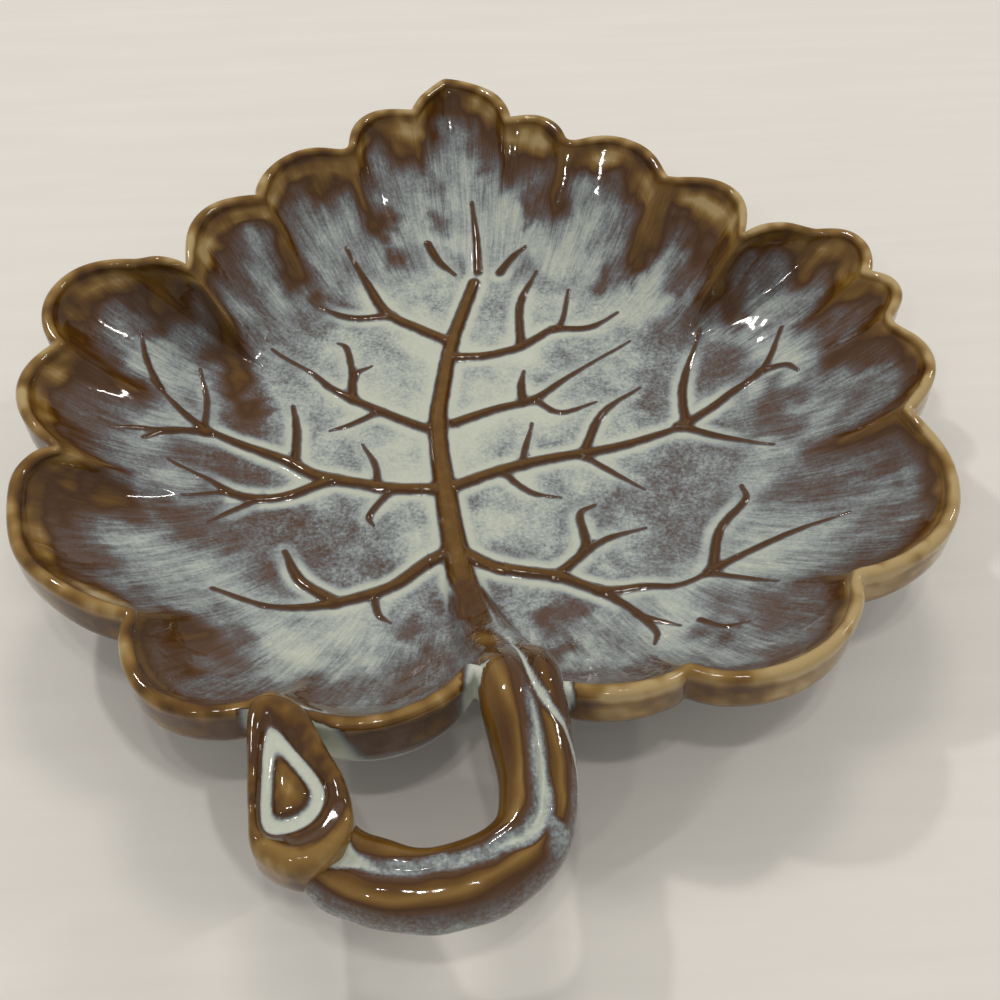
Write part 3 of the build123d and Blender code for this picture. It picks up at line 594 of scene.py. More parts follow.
def vein_fields(places, lines, margin=far_gap):
    """Gap in mm to the nearest vein's edge, that vein's width, and the relief's height, at plan points."""
    gap_sum = np.full(len(places), np.exp(-margin / webbing))
    gap_best = np.full(len(places), margin)
    width_best = np.full(len(places), fine_vein)
    height_sum = np.zeros(len(places))
    for line, widths in lines:
        low, high = line.min(0) - margin, line.max(0) + margin
        near = np.nonzero(((places > low) & (places < high)).all(1))[0]
        if not len(near):
            continue
        away, width = nearest_on_line(places[near], line, widths)
        gap = away - width / 2
        gap_sum[near] += np.exp(-gap / webbing)
        closer = gap < gap_best[near]
        gap_best[near] = np.where(closer, gap, gap_best[near])
        width_best[near] = np.where(closer, width, width_best[near])
        crest = relief_share * width
        height = crest / (1 + (away / crest) ** 4) * (1 - ease(gap, *relief_fades))
        height_sum[near] += height ** joining
    return -webbing * np.log(gap_sum), width_best, height_sum ** (1 / joining)


def midrib_line():
    """The midrib as a smooth line with its width, narrowing again where it runs into the stem."""
    line = smooth_line(midrib_course, STEPS_PER_PLACE) * half_width
    along = np.linspace(0, 1, len(line))
    return [(line, np.interp(along, midrib_width_shares, midrib_widths))]


# Each family of veins: its lines, its node, and how far in mm it is lifted clear of the others
families = {
    "raised_midrib": (midrib_line(), "midrib", 0.02),
    "raised_veins_right": (vein_lines(right_courses), "side_veins_right", 0.0),
    "raised_veins_left": (vein_lines(left_courses), "side_veins_left", 0.0),
    "raised_vein_tips": (vein_lines(tip_courses), "vein_tips", 0.0),
}
all_lines = [line for lines, node, lift in families.values() for line in lines]


# The stem's root

ROWS_PER_STATION = 20

# The plan in mm and the stations under which the root is looked for
root_half_reach, root_begins_y = 30, -34
ROOT_STATIONS = 5

# The root's section: where its flanks begin and how steeply they fall, and its two powers
flank_begins, flank_fall = 0.97, 6
section_power, section_root = 2.27, 0.44

# How far in mm the root's top is raised, and lowered where it leaves the leaf, at its start and behind it
root_raised, lower_leaving, lower_at_start, lower_behind = 0.35, 2.6, 1.6, 0.8


def twig_frame():
    """The twig's centre line, widths and depths in mm, and its run, outer and upper directions."""
    rows = smooth_line(np.array(stem_stations) * (half_width, half_width, 1, 1, 1), ROWS_PER_STATION)
    run = np.gradient(rows[:, :3], axis=0)
    run /= np.linalg.norm(run, axis=1)[:, None]
    outer = np.cross((0, 0, 1), run)
    outer /= np.linalg.norm(outer, axis=1)[:, None]
    return rows, run, outer, np.cross(run, outer)


twig_lines = twig_frame()


def under_root(plan):
    """Station, offset in half widths and top height of the twig at plan points near its root."""
    rows, run, outer = twig_lines[:3]
    last = ROOT_STATIONS * ROWS_PER_STATION
    station = np.zeros(len(plan))
    offset = np.full(len(plan), 9.0)
    top = np.full(len(plan), -50.0)
    near = np.nonzero((np.abs(plan[:, 0]) < root_half_reach) & (plan[:, 1] < root_begins_y))[0]
    away = np.linalg.norm(plan[near][:, None] - rows[None, :last, :2], axis=2)
    index = away.argmin(1)
    gap = plan[near] - rows[index, :2]
    share = (gap * outer[index, :2]).sum(1) / (rows[index, 3] / 2)
    side = np.minimum(np.abs(share), flank_begins)
    shape = (1 - side ** section_power) ** section_root
    shape = shape - flank_fall * np.maximum(np.abs(share) - flank_begins, 0)
    steep = np.hypot(run[index, 0], run[index, 1])
    station[near] = index / ROWS_PER_STATION
    offset[near] = share
    cover = root_raised - lower_leaving * ease(station[near], 3.3, 4.1)
    cover = cover - lower_at_start * (1 - ease(station[near], 0.0, 0.9))
    behind = np.maximum(-(gap * run[index, :2]).sum(1), 0)
    top[near] = rows[index, 2] + rows[index, 4] / 2 / steep * shape + cover - lower_behind * behind
    return station, offset, top


def root_share(places):
    """How far the stem's root has taken over from the leaf at plan points in mm, from 0 to 1."""
    station, offset = under_root(places)[:2]
    return (1 - ease(np.abs(offset), 1.0, 1.6)) * ease(station, 0.0, 1.5)


# How thick the glaze lies across the stem's root, from left to right, and across the midrib from its
# middle, at shares of the half width
root_offsets = [-1.4, -1.0, -0.75, -0.5, -0.2, 0.05, 0.2, 0.4, 0.55, 0.75, 1.0, 1.2, 1.5]
root_glaze = [0.55, 0.48, 0.36, 0.19, 0.13, 0.17, 0.36, 0.58, 0.48, 0.24, 0.19, 0.26, 0.45]
midrib_offsets = [0.0, 0.7, 0.95, 1.2, 1.7]
midrib_glaze = [0.155, 0.155, 0.24, 0.36, 0.55]
frost_glaze, pale_line_glaze = 0.66, 0.88


def root_glaze_at(offset, place, station):
    """How thick the glaze lies across the stem's root, at places in mm and stations of the stem."""
    wander = 0.10 * soft_noise(place, size=12, seed=61) + 0.07 * soft_noise(place, size=5, seed=62)
    thick = np.interp(offset + wander, root_offsets, root_glaze)
    like_midrib = np.interp(np.abs(offset + 0.6 * wander), midrib_offsets, midrib_glaze)
    thick = like_midrib + (thick - like_midrib) * ease(station, 0.9, 1.9)
    frost = np.exp(-((station - 2.0) / 0.55) ** 2 - ((offset - 0.12) / 0.42) ** 2)
    thick = thick + (frost_glaze - thick) * 0.9 * frost
    thick = thick + 0.04 * soft_noise(place, size=9, seed=63)
    pale_line = ease(station, 2.4, 3.4) * np.exp(-((offset - 0.25) / 0.10) ** 2)
    return thick + (pale_line_glaze - thick) * pale_line


def paint_patches(glaze, places, inner):
    """The glaze at plan points in mm with the thin patches and thick pools laid over it, a few of them
    partly painted highlight or painted shade.
    """
    strength, raggedness = 0.9, 0.35
    flat = on_floor(places)
    for x, y, radius, thick in glaze_and_painted_light_patches:
        away = places - np.array([x, y]) * half_width
        near = np.nonzero((np.abs(away) < 3 * radius).all(1))[0]
        ragged = [soft_noise(flat[near], size=radius * 1.5, seed=seed) for seed in (17, 23)]
        away = away[near] + raggedness * radius * np.column_stack(ragged)
        share = strength * np.exp(-((away ** 2).sum(1) / (radius * radius)) ** 1.3) * inner[near]
        glaze[near] += (thick - glaze[near]) * share
    return glaze


# How much thicker the glaze lies on the floor, and how much thinner on its left and far from its middle
floor_thicker, left_thinner, far_thinner = 0.10, 0.08, 0.26
floor_middle = np.array([-6.0, 12.0])

# The reach past which no vein is drawn, and how streaky the glaze is on the stem's root
veins_end_reach = 0.95
root_streaky = 0.45


def leaf_facts(places, facts):
    """The named facts that the glaze reads at each vertex of the leaf, from plan places in mm."""
    reach, glaze, side, flow = facts[:, 0], facts[:, 1], facts[:, 2], facts[:, 3:6]
    gap, width = vein_fields(places, all_lines)[:2]
    flat = on_floor(places)
    station, offset = under_root(places)[:2]
    inner = side * (1 - ease(reach, 0.93, 0.99))
    far = np.linalg.norm(places - floor_middle, axis=1)
    left_side = left_thinner * ease(-places[:, 0] / half_width, 0.25, 0.6)
    far_side = far_thinner * ease(far, 18, 62) * (1 - ease(reach, 0.62, 0.78))
    floor_change = floor_thicker - left_side - far_side
    cloud = 0.10 * soft_noise(flat, size=22, seed=7) + 0.08 * soft_noise(flat, size=11, seed=8)
    glaze = glaze + inner * (floor_change + cloud) * ease(glaze, 0.12, 0.5)
    glaze = paint_patches(glaze, places, inner)
    gap = np.where((side > 0.5) & (reach < veins_end_reach), gap, far_gap)
    root = side * root_share(places) * (1 - ease(reach, 0.96, 0.99))
    glaze = glaze + (root_glaze_at(offset, flat, station) - glaze) * root
    width = width * (1 - root)
    along = np.column_stack([offset * 6, np.zeros(len(places)), places[:, 1]])
    flow = np.where(root[:, None] > 0.4, along, flow)
    facts = {"glaze": glaze, "vein_gap": gap, "vein_width": width, "flow": flow, **manner(reach)}
    facts["streaky"] = facts["streaky"] * (1 - root) + root_streaky * root
    return facts


def manner(reach):
    """How streaky and how speckled the glaze is: streaks run down the wall, specks lie on the floor."""
    on_wall = ease(reach, 0.55, 0.74)
    off_lip = 1 - ease(reach, 0.94, 0.995)
    return {"streaky": on_wall * off_lip, "specky": (1 - 0.5 * on_wall) * off_lip + 0.12 * (1 - off_lip)}


# The depth of the floor's dimples, and how softly the stem's root joins the floor, in mm
dimple_depth, root_softness = 0.12, 1.8


def make_leaf():
    """The glazed leaf bowl, and maps of its height and facts for the pieces that lie on it."""
    rows, facts = leaf_rows()
    plan = rows[..., :2].reshape(-1, 2)
    side = facts[..., 2].reshape(-1)
    reach = facts[..., 0].reshape(-1)
    dimple = soft_noise(on_floor(plan), size=17, seed=11)
    level = rows[..., 2].reshape(-1) + dimple_depth * dimple * side * (1 - ease(reach, 0.85, 0.97))
    top = under_root(plan)[2]
    joined = (level + top + np.sqrt((level - top) ** 2 + root_softness ** 2)) / 2
    share = side * (1 - ease(reach, 0.93, 0.985)) * (top > -20)
    rows[..., 2] = (level + (joined - level) * share).reshape(rows.shape[:2])
    shape, kept = grid_shape(rows, facts)
    named = leaf_facts(vertex_plan(shape), kept)
    tree = BVHTree.FromBMesh(shape)
    corners = [[vertex.index for vertex in face.verts] for face in shape.faces]
    piece = finish_mesh("glazed_leaf", shape, named)
    table = np.column_stack([named["glaze"], kept[:, 0], named["flow"]])
    return piece, table, tree, corners


leaf, leaf_table, leaf_tree, leaf_corners = make_leaf()
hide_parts("leaf_bowl")

# The map's cells and half side in mm, how far out it is sampled and smoothed, and its blur in cells.
# A small nudge keeps each ray off the leaf's edges.
MAP_STEP, MAP_HALF = 0.5, 99.0
map_radius, smooth_radius = 97, 92
map_blur = 1.2
nudge_x, nudge_y = 0.013, 0.007
ray_start = 0.06


def blur_map(values, spread):
    """Blurs a map along both its sides by a spread in cells."""
    for axis in (0, 1):
        waves = np.fft.fftfreq(values.shape[axis])
        fade = np.exp(-2 * (pi * waves * spread) ** 2)
        shape = [1] * values.ndim
        shape[axis] = -1
        values = np.real(np.fft.ifft(np.fft.fft(values, axis=axis) * fade.reshape(shape), axis=axis))
    return values


def leaf_map():
    """The leaf's inner surface sampled on a square map: height, glaze, reach and flow."""
    count = int(2 * MAP_HALF / MAP_STEP) + 1
    line = np.linspace(-MAP_HALF, MAP_HALF, count)
    result = np.zeros((count, count, 6))
    result[..., 0] = rim_height
    down = Vector((0, 0, -1))
    for j, y in enumerate(line):
        for i, x in enumerate(line):
            if x * x + y * y > map_radius ** 2:
                continue
            start = ((x + nudge_x) * MM + leaf_centre[0], (y + nudge_y) * MM + leaf_centre[1], ray_start)
            hit, normal, face, away = leaf_tree.ray_cast(Vector(start), down)
            if hit is None:
                continue
            result[j, i, 0] = hit.z / MM
            result[j, i, 1:] = leaf_table[leaf_corners[face]].mean(0)
    heights = blur_map(result[..., 0], map_blur)
    centre = (line[:, None] ** 2 + line[None, :] ** 2) < smooth_radius ** 2
    result[..., 0] = np.where(centre, heights, result[..., 0])
    return result


surface = leaf_map()


def from_map(places):
    """Height, glaze, reach and flow of the leaf at plan places in mm."""
    spots = (places + MAP_HALF) / MAP_STEP
    low = np.clip(np.floor(spots).astype(int), 0, surface.shape[0] - 2)
    part = spots - low
    x, y = part[:, 0:1], part[:, 1:2]
    i, j = low[:, 0], low[:, 1]
    return ((1 - x) * (1 - y) * surface[j, i] + x * (1 - y) * surface[j, i + 1]
            + (1 - x) * y * surface[j + 1, i] + x * y * surface[j + 1, i + 1])


# The relief in mm: its grid's cells and border and how far out a vein counts, the least height kept, how
# deep it sits in the leaf, its thickness, and how deep it sinks under the stem's root and where
relief_cell, relief_border, own_margin = 0.36, 5, 9.0
least_relief, relief_embedded, relief_thickness = 0.012, 0.09, 1.2
root_sink, root_sink_from, root_sink_to = 3.2, 36, 56
root_middle_x, root_sink_half_width = -4, 8


def relief_grid(lines):
    """A grid cut down to where a family of veins stands, and its vertices' plan places in mm."""
    points = np.vstack([line for line, widths in lines])
    low, high = points.min(0) - relief_border, points.max(0) + relief_border
    counts = np.ceil((high - low) / relief_cell).astype(int)
    relief = bmesh.new()
    bmesh.ops.create_grid(relief, x_segments=int(counts[0]), y_segments=int(counts[1]), size=0.5)
    places = low + (vertex_places(relief)[:, :2] + 0.5) * (high - low)
    kept = vein_fields(places, lines, own_margin)[2] > least_relief
    doomed = [vertex for vertex, keep in zip(relief.verts, kept) if not keep]
    bmesh.ops.delete(relief, geom=doomed, context="VERTS")
    loose = [vertex for vertex in relief.verts if not vertex.link_faces]
    bmesh.ops.delete(relief, geom=loose, context="VERTS")
    return relief, low + (vertex_places(relief)[:, :2] + 0.5) * (high - low)


def make_vein_piece(name, lines, node, lift):
    """One family of veins as thin relief that grows out of the leaf's surface."""
    relief, places = relief_grid(lines)
    height = vein_fields(places, all_lines)[2]
    sunk = root_sink * ease(-places[:, 1], root_sink_from, root_sink_to)
    sunk = sunk * (np.abs(places[:, 0] - root_middle_x) < root_sink_half_width)
    top = from_map(places)[:, 0] + height - relief_embedded + lift - sunk
    for vertex, (x, y), z in zip(relief.verts, places, top):
        vertex.co = (x * MM + leaf_centre[0], y * MM + leaf_centre[1], z * MM)
    back = bmesh.ops.extrude_face_region(relief, geom=relief.faces[:], use_keep_orig=True)
    for vertex in back["geom"]:
        if isinstance(vertex, bmesh.types.BMVert):
            vertex.co.z -= relief_thickness * MM
    bmesh.ops.recalc_face_normals(relief, faces=relief.faces)
    spots = vertex_plan(relief)
    gap, width = vein_fields(spots, all_lines)[:2]
    width = width * (1 - root_share(spots))
    under = from_map(spots)
    facts = {"glaze": under[:, 1], "vein_gap": gap, "vein_width": width, "flow": under[:, 3:6],
             **manner(under[:, 2])}
    piece = finish_mesh(name, relief, facts)
    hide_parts(node)
    return piece


veins = [make_vein_piece(name, *family) for name, family in families.items()]


# The twig handle and its cut end

# Points in each ring round the twig
TURNS = 160

# The glaze round the twig's loop: degrees from the loop's outer side over the top, and thickness.
twig_glaze_turns = [-90, -60, -30, 0, 20, 35, 48, 60, 90, 120, 150, 175, 200, 230, 270]
twig_glaze = [0.50, 0.55, 0.55, 0.50, 0.42, 0.34, 0.21, 0.17, 0.20, 0.17, 0.15, 0.17, 0.21, 0.34, 0.50]

# Lines of glaze drawn along the twig: thickness, softness of the edge in degrees, and the line's
# stations with its degrees round and half width in degrees there.
twig_marks = [
    (0.08, 22, [(4.1, 158, 3), (4.4, 140, 5), (4.8, 121, 6), (5.2, 112, 6), (5.7, 105, 6), (6.5, 108, 7),
                (7.4, 114, 7), (8.2, 114, 4)]),
    (0.14, 12, [(5.2, 142, 7), (6.2, 154, 9), (7.2, 150, 9), (8.0, 142, 6)]),
    (0.13, 16, [(9.4, 135, 7), (10.2, 124, 8), (11.2, 124, 8), (12.0, 124, 6)]),
    (0.08, 18, [(5.5, 73, 1), (5.9, 66, 3), (6.3, 59, 5), (6.75, 55, 6), (7.2, 53, 5), (7.45, 52, 2)]),
    (0.07, 26, [(7.95, 64, 2), (8.3, 67, 6), (8.9, 73, 7), (9.75, 64, 8), (10.2, 56, 8), (10.8, 54, 8),
                (11.4, 54, 5)]),
    (0.29, 9, [(4.5, 98, 7), (5.4, 88, 12), (6.0, 88, 15), (6.75, 88, 17), (7.5, 86, 19), (8.3, 98, 21),
               (9.25, 105, 17), (10.0, 98, 16), (11.0, 92, 15), (12.0, 88, 15)]),
    (0.64, 10, [(5.3, 84, 4), (5.7, 83, 7), (6.3, 85, 10), (6.9, 83, 12), (7.5, 80, 15), (8.1, 88, 17),
                (8.6, 103, 14), (9.25, 109, 12), (10.0, 101, 10), (10.8, 97, 9), (11.4, 92, 13),
               (12.0, 86, 22)]),
    (0.88, 9, [(5.5, 82, 2), (6.3, 84, 5), (6.9, 82, 7), (7.6, 79, 9), (8.1, 88, 7), (8.5, 100, 3)]),
    (0.90, 9, [(10.6, 97, 2), (10.9, 95, 8), (11.25, 92, 22), (11.6, 92, 38), (12.0, 92, 50)]),
    (0.62, 20, [(7.55, 70, 3), (7.72, 48, 22), (7.9, 40, 16)]),
    (0.28, 6, [(4.3, 86, 6), (4.9, 86, 6), (5.3, 76, 7), (5.6, 62, 9), (5.9, 44, 12), (6.2, 30, 12)]),
    (0.92, 5, [(4.1, 80, 1), (4.5, 79, 3), (5.0, 78, 4), (5.3, 72, 5), (5.55, 63, 6), (5.8, 49, 8),
               (6.05, 33, 9), (6.3, 24, 8), (6.7, 17, 5), (7.2, 12, 2)]),
]
groove_stations = [4.2, 5.4, 7.5, 8.1, 8.6, 9.25, 10.0, 12.0]
groove_shares = [0.22, 0.18, 0.17, -0.02, -0.24, -0.28, -0.16, 0.10]
side_groove_stations = [4.2, 5.1, 5.4, 5.7, 6.0, 6.3]
side_groove_shares = [0.25, 0.27, 0.41, 0.63, 0.86, 0.94]

# The section's power, and the grooves' depths in mm and half widths as shares of the twig's half width
twig_power = 0.88
shallow_groove, groove_gain, side_groove_depth = 0.25, 1.7, 0.6
groove_half, groove_widening, side_groove_half = 0.21, 0.16, 0.10


def twig_section(station, width, depth, turns):
    """One section of the twig in mm across and up, with the grooves between its ribs."""
    across, rise = np.cos(turns), np.sin(turns)
    a = np.sign(across) * np.abs(across) ** twig_power
    b = np.sign(rise) * np.abs(rise) ** twig_power
    top = ease(b, -0.1, 0.4)
    deep = groove_gain * float(ease(station, 3.8, 5.6)) + shallow_groove
    deep *= 1 - 0.4 * float(ease(station, 7.6, 8.4) * (1 - ease(station, 10.0, 11.0)))
    half = groove_half + groove_widening * float(ease(station, 10.0, 11.6))
    middle = np.interp(station, groove_stations, groove_shares)
    change = -deep * np.exp(-((a - middle) / half) ** 2) * top
    side_groove = float(ease(station, 4.2, 4.9) * (1 - ease(station, 6.0, 6.5)))
    side_middle = np.interp(station, side_groove_stations, side_groove_shares)
    change -= side_groove_depth * side_groove * np.exp(-((a - side_middle) / side_groove_half) ** 2) * top
    x, z = a * width / 2, b * depth / 2
    nx, nz = a / width, b / depth
    size = np.hypot(nx, nz) + 1e-9
    return x + nx / size * change, z + nz / size * change, a


def paint_marks(glaze, station, degrees):
    """The glaze of one ring of the twig with the drawn lines laid over it."""
    for thick, soft, path in twig_marks:
        stations, middles, halves = np.array(path).T
        away = np.abs(degrees - np.interp(station, stations, middles))
        half = np.interp(station, stations, halves)
        ends = ease(station, stations[0] - 0.25, stations[0] + 0.1)
        ends = ends * (1 - ease(station, stations[-1] - 0.1, stations[-1] + 0.25))
        share = (1 - ease(away, half - soft / 2, half + soft / 2)) * ends
        glaze = glaze + (thick - glaze) * share
    return glaze


def piece_facts(glaze, streaky, specky, flow):
    """The facts of one ring of the twig or its end, a row for each point."""
    count = len(glaze)
    return np.column_stack([glaze, np.full(count, streaky), np.full(count, specky), flow])


def twig_rows():
    """Rows of points round the twig from its root to the hidden tenon, and the facts at each."""
    rows, run, outer, upper = twig_lines
    turns = 2 * pi * np.arange(TURNS) / TURNS
    degrees = (np.degrees(turns) + 90) % 360 - 90
    round_way = np.column_stack([np.cos(turns), np.sin(turns), np.zeros(TURNS)])
    length = np.concatenate([[0], np.cumsum(np.linalg.norm(np.diff(rows[:, :3], axis=0), axis=1))])
    places, facts = [], []
    for i, row in enumerate(rows):
        station = i / ROWS_PER_STATION
        x, z, a = twig_section(station, row[3], row[4], turns)
        place = row[:3] + x[:, None] * outer[i] + z[:, None] * upper[i]
        place += 0.25 * soft_noise(place, size=14, seed=41)[:, None] * (place - row[:3]) / 6
        along = np.column_stack([np.zeros(TURNS), np.zeros(TURNS), np.full(TURNS, length[i])])
        wound = round_way * 5 + along
        shift = 2.2 * soft_noise(wound, size=18, seed=42) + 1.6 * soft_noise(wound, size=6, seed=43)
        loop = paint_marks(np.interp(degrees, twig_glaze_turns, twig_glaze), station, degrees + shift)
        root = root_glaze_at(a, on_floor(place[:, :2]), station)
        glaze = root + (loop - root) * float(ease(station, 3.7, 4.6))
        glaze = glaze + 0.02 * soft_noise(wound, size=9, seed=44)
        places.append(place)
        facts.append(piece_facts(glaze, 0.5, 0.9, round_way * 6.5 + along))
    places = [np.tile(rows[0, :3], (TURNS, 1))] + places + [np.tile(rows[-1, :3], (TURNS, 1))]
    facts = [facts[0]] + facts + [facts[-1]]
    return np.array(places), np.array(facts)


def twig_facts(kept):
    """The named facts of the twig's vertices."""
    count = len(kept)
    return {"glaze": kept[:, 0], "streaky": kept[:, 1], "specky": kept[:, 2], "flow": kept[:, 3:6],
            "vein_gap": np.full(count, far_gap), "vein_width": np.full(count, fine_vein)}


def make_twig():
    """The glazed twig that climbs the wall, crosses the rim and loops round the finger hole."""
    shape, kept = grid_shape(*twig_rows())
    return finish_mesh("twig_handle", shape, twig_facts(kept))


# The cut end's outline and its teardrop, seen from above, as shares of the half width
end_outline = [(-0.440, -0.915), (-0.395, -0.895), (-0.345, -0.925), (-0.300, -1.010), (-0.268, -1.075),
               (-0.255, -1.155), (-0.290, -1.215), (-0.345, -1.235), (-0.415, -1.195), (-0.430, -1.120),
               (-0.437, -1.030)]
drop_outline = [(-0.405, -0.955), (-0.352, -1.010), (-0.302, -1.085), (-0.315, -1.140), (-0.365, -1.165),
                (-0.405, -1.150), (-0.412, -1.060)]
drop_centre = np.array([-0.362, -1.095]) * half_width
collar_course = [(-0.244, -1.135), (-0.265, -1.175), (-0.300, -1.203), (-0.345, -1.212), (-0.392, -1.185)]

# The end's rings as place, height in mm and glaze. The place is an inset in mm on the end's outer wall;
# further in it is a share: of the way from the teardrop to the outline on the border, from the heart to
# the teardrop's edge in the teardrop, and from its middle to its edge on the heart.
outer_rings = [(3.6, 25.0, 0.45), (1.6, 25.8, 0.42), (0.5, 27.4, 0.36), (0, 29.6, 0.30), (0, 31.6, 0.24),
               (0.05, 33.4, 0.19)]
border_rings = [(1.0, 35.0, 0.16), (0.96, 35.9, 0.15), (0.88, 36.7, 0.14), (0.76, 37.2, 0.15),
                (0.62, 37.45, 0.16), (0.46, 37.45, 0.17), (0.32, 37.25, 0.18), (0.20, 36.95, 0.20),
                (0.10, 36.55, 0.21), (0.0, 36.15, 0.23)]
drop_rings = [(0.93, 35.9, 0.34), (0.86, 35.75, 0.80), (0.75, 35.7, 0.95), (0.60, 35.7, 0.95),
              (0.42, 35.75, 0.95), (0.28, 35.8, 0.88), (0.16, 35.95, 0.60), (0.07, 36.15, 0.28)]
heart_rings = [(1.0, 36.4, 0.21), (0.90, 36.65, 0.17), (0.75, 36.85, 0.14), (0.5, 37.0, 0.12),
               (0.25, 37.05, 0.11), (0.0, 37.05, 0.10)]
heart_size = 0.50

# The ridge at the collar and the valley inside it: half widths, rise and drop in mm, and glaze. They
# start with the end's ring number 5 and stop before the teardrop.
ridge_half, ridge_rise, ridge_glaze = 1.4, 0.55, 0.07
valley_half, valley_drop, valley_glaze, valley_share = 0.9, 0.4, 0.34, 0.74
FIRST_UPPER_RING = 5

# Points in each ring of the end
SPOKES = 180
spoke_turns = 2 * pi * np.arange(SPOKES) / SPOKES - pi


def spoke_lengths(outline):
    """How far an outline lies from the teardrop's centre along each spoke, in mm."""
    steps = 16
    points = np.array(outline) * half_width - drop_centre
    looped = np.vstack([points[-2:], points, points[:3]])
    line = smooth_line(looped, steps)[2 * steps:-2 * steps]
    angle = np.arctan2(line[:, 1], line[:, 0])
    order = np.argsort(angle)
    return np.interp(spoke_turns, angle[order], np.linalg.norm(line, axis=1)[order], period=2 * pi)


def end_rings():
    """Length of each spoke, height and glaze of every ring, from the end's underside to its heart."""
    outline = spoke_lengths(end_outline)
    drop = smooth_round(spoke_lengths(drop_outline), 1.2)
    heart = drop * heart_size
    height, glaze = outer_rings[0][1:]
    rings = [(outline * share, height, glaze) for share in (0, 0.5)]
    rings += [(outline - inset, height, glaze) for inset, height, glaze in outer_rings]
    for inner, outer, table in ((drop, outline, border_rings), (heart, drop, drop_rings),
                                (0 * heart, heart, heart_rings)):
        rings += [(inner + (outer - inner) * share, height, glaze) for share, height, glaze in table]
    return rings


def end_rows():
    """Rows of points from the middle of the end's underside over its border to its raised heart."""
    rings = end_rings()
    spokes = np.column_stack([np.cos(spoke_turns), np.sin(spoke_turns)])
    collar = smooth_line(collar_course, 8) * half_width
    valley = drop_centre + (collar - drop_centre) * valley_share
    level = np.ones(len(collar))
    upper_rings = range(FIRST_UPPER_RING, len(rings) - len(drop_rings) - len(heart_rings))
    places, facts = [], []
    for index, (lengths, height, glaze) in enumerate(rings):
        plan = drop_centre + spokes * lengths[:, None]
        place = np.column_stack([plan, np.full(SPOKES, height)])
        flow = place.copy()
        rounded = soft_noise(place, size=12, seed=51)
        place[:, 2] += 0.18 * rounded * (lengths > 0) * (height > 34)
        uneven = 0.035 * soft_noise(place, size=8, seed=52) + 0.025 * soft_noise(place, size=3, seed=53)
        values = np.full(SPOKES, glaze) + uneven * (glaze < 0.5)
        if index in upper_rings:
            on_collar = np.exp(-(nearest_on_line(plan, collar, level)[0] / ridge_half) ** 2)
            in_valley = np.exp(-(nearest_on_line(plan, valley, level)[0] / valley_half) ** 2)
            place[:, 2] += ridge_rise * on_collar - valley_drop * in_valley
            values -= 0.07 * ease(-plan[:, 1], 108, 122)
            values += (ridge_glaze - values) * on_collar
            values += (valley_glaze - values) * in_valley
        places.append(place)
        facts.append(piece_facts(values, 0.25, 0.7, flow))
    return np.array(places), np.array(facts)


def make_end():
    """The twig's cut end: a rounded border, a pale sunken teardrop and a brown heart left in it."""
    shape, kept = grid_shape(*end_rows())
    return finish_mesh("twig_end", shape, twig_facts(kept))


def tree_of(piece):
    """A search tree over a piece's faces."""
    mesh = piece.data
    return BVHTree.FromPolygons([vertex.co[:] for vertex in mesh.vertices],
                                [polygon.vertices[:] for polygon in mesh.polygons])


# Where the glaze pools beside the twig: heights in mm, shares of the half width, and how far the pools
# reach left of the cut end and right of the twig, as shares of their usual reach. Low down they widen.
pool_lowest, pool_highest, pool_grows_below = 22.5, 35.2, 33.0
pool_inner_y, end_inner_y, end_right_x, end_left_x = -0.845, -0.915, -0.2, -0.435
twig_right_mm = 4
left_reach, right_reach, growth_per_mm = 0.40, 0.55, 0.11
pool_glaze, pool_strength = 0.95, 0.95


def pool_reach(x, y, z, reach_mm):
    """How far a pool reaches in mm at a place in mm from the leaf's centre; 0 where there is none."""
    across, along = x / half_width, y / half_width
    if not pool_lowest <= z <= pool_highest or along > pool_inner_y:
        return 0.0
    if across < end_right_x and along > end_inner_y:
        return 0.0
    if across < end_left_x:
        return left_reach * reach_mm
    if x > twig_right_mm:
        return right_reach * reach_mm
    return reach_mm * (1 + growth_per_mm * max(0.0, pool_grows_below - z))


def pool_crease(piece, other, reach_mm):
    """Thickens a piece's glaze into pale pools where it meets another piece."""
    mesh = piece.data
    values = np.zeros(len(mesh.vertices), np.float32)
    mesh.attributes["glaze"].data.foreach_get("value", values)
    tree = tree_of(other)
    for i, vertex in enumerate(mesh.vertices):
        reach = pool_reach(*((np.array(vertex.co) - leaf_centre) / MM), reach_mm)
        away = tree.find_nearest(vertex.co, 1.2 * reach * MM)[3] if reach else None
        if away is None:
            continue
        share = pool_strength * (1 - ease(away / MM, 0.55 * reach, 1.15 * reach))
        values[i] += (pool_glaze - values[i]) * share
    mesh.attributes["glaze"].data.foreach_set("value", values)


twig = make_twig()
twig_end = make_end()
pool_crease(twig, leaf, 2.0)
pool_crease(leaf, twig, 2.8)
pool_crease(leaf, twig_end, 3.9)
pool_crease(twig_end, leaf, 2.4)
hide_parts("stem_handle")
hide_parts("stem_end")


# The glaze

# Colours of the glaze from the thinnest, over edges, to the thickest, in pools: thickness and sRGB.
glaze_colours = [
    (0.00, (0.72, 0.62, 0.43)), (0.07, (0.57, 0.44, 0.22)), (0.14, (0.43, 0.30, 0.10)),
    (0.21, (0.30, 0.18, 0.05)), (0.28, (0.35, 0.24, 0.145)), (0.36, (0.38, 0.31, 0.28)),
    (0.45, (0.41, 0.385, 0.38)), (0.55, (0.485, 0.50, 0.505)), (0.66, (0.595, 0.62, 0.62)),
    (0.78, (0.70, 0.73, 0.705)), (0.90, (0.78, 0.80, 0.74)), (1.00, (0.82, 0.835, 0.775)),
]


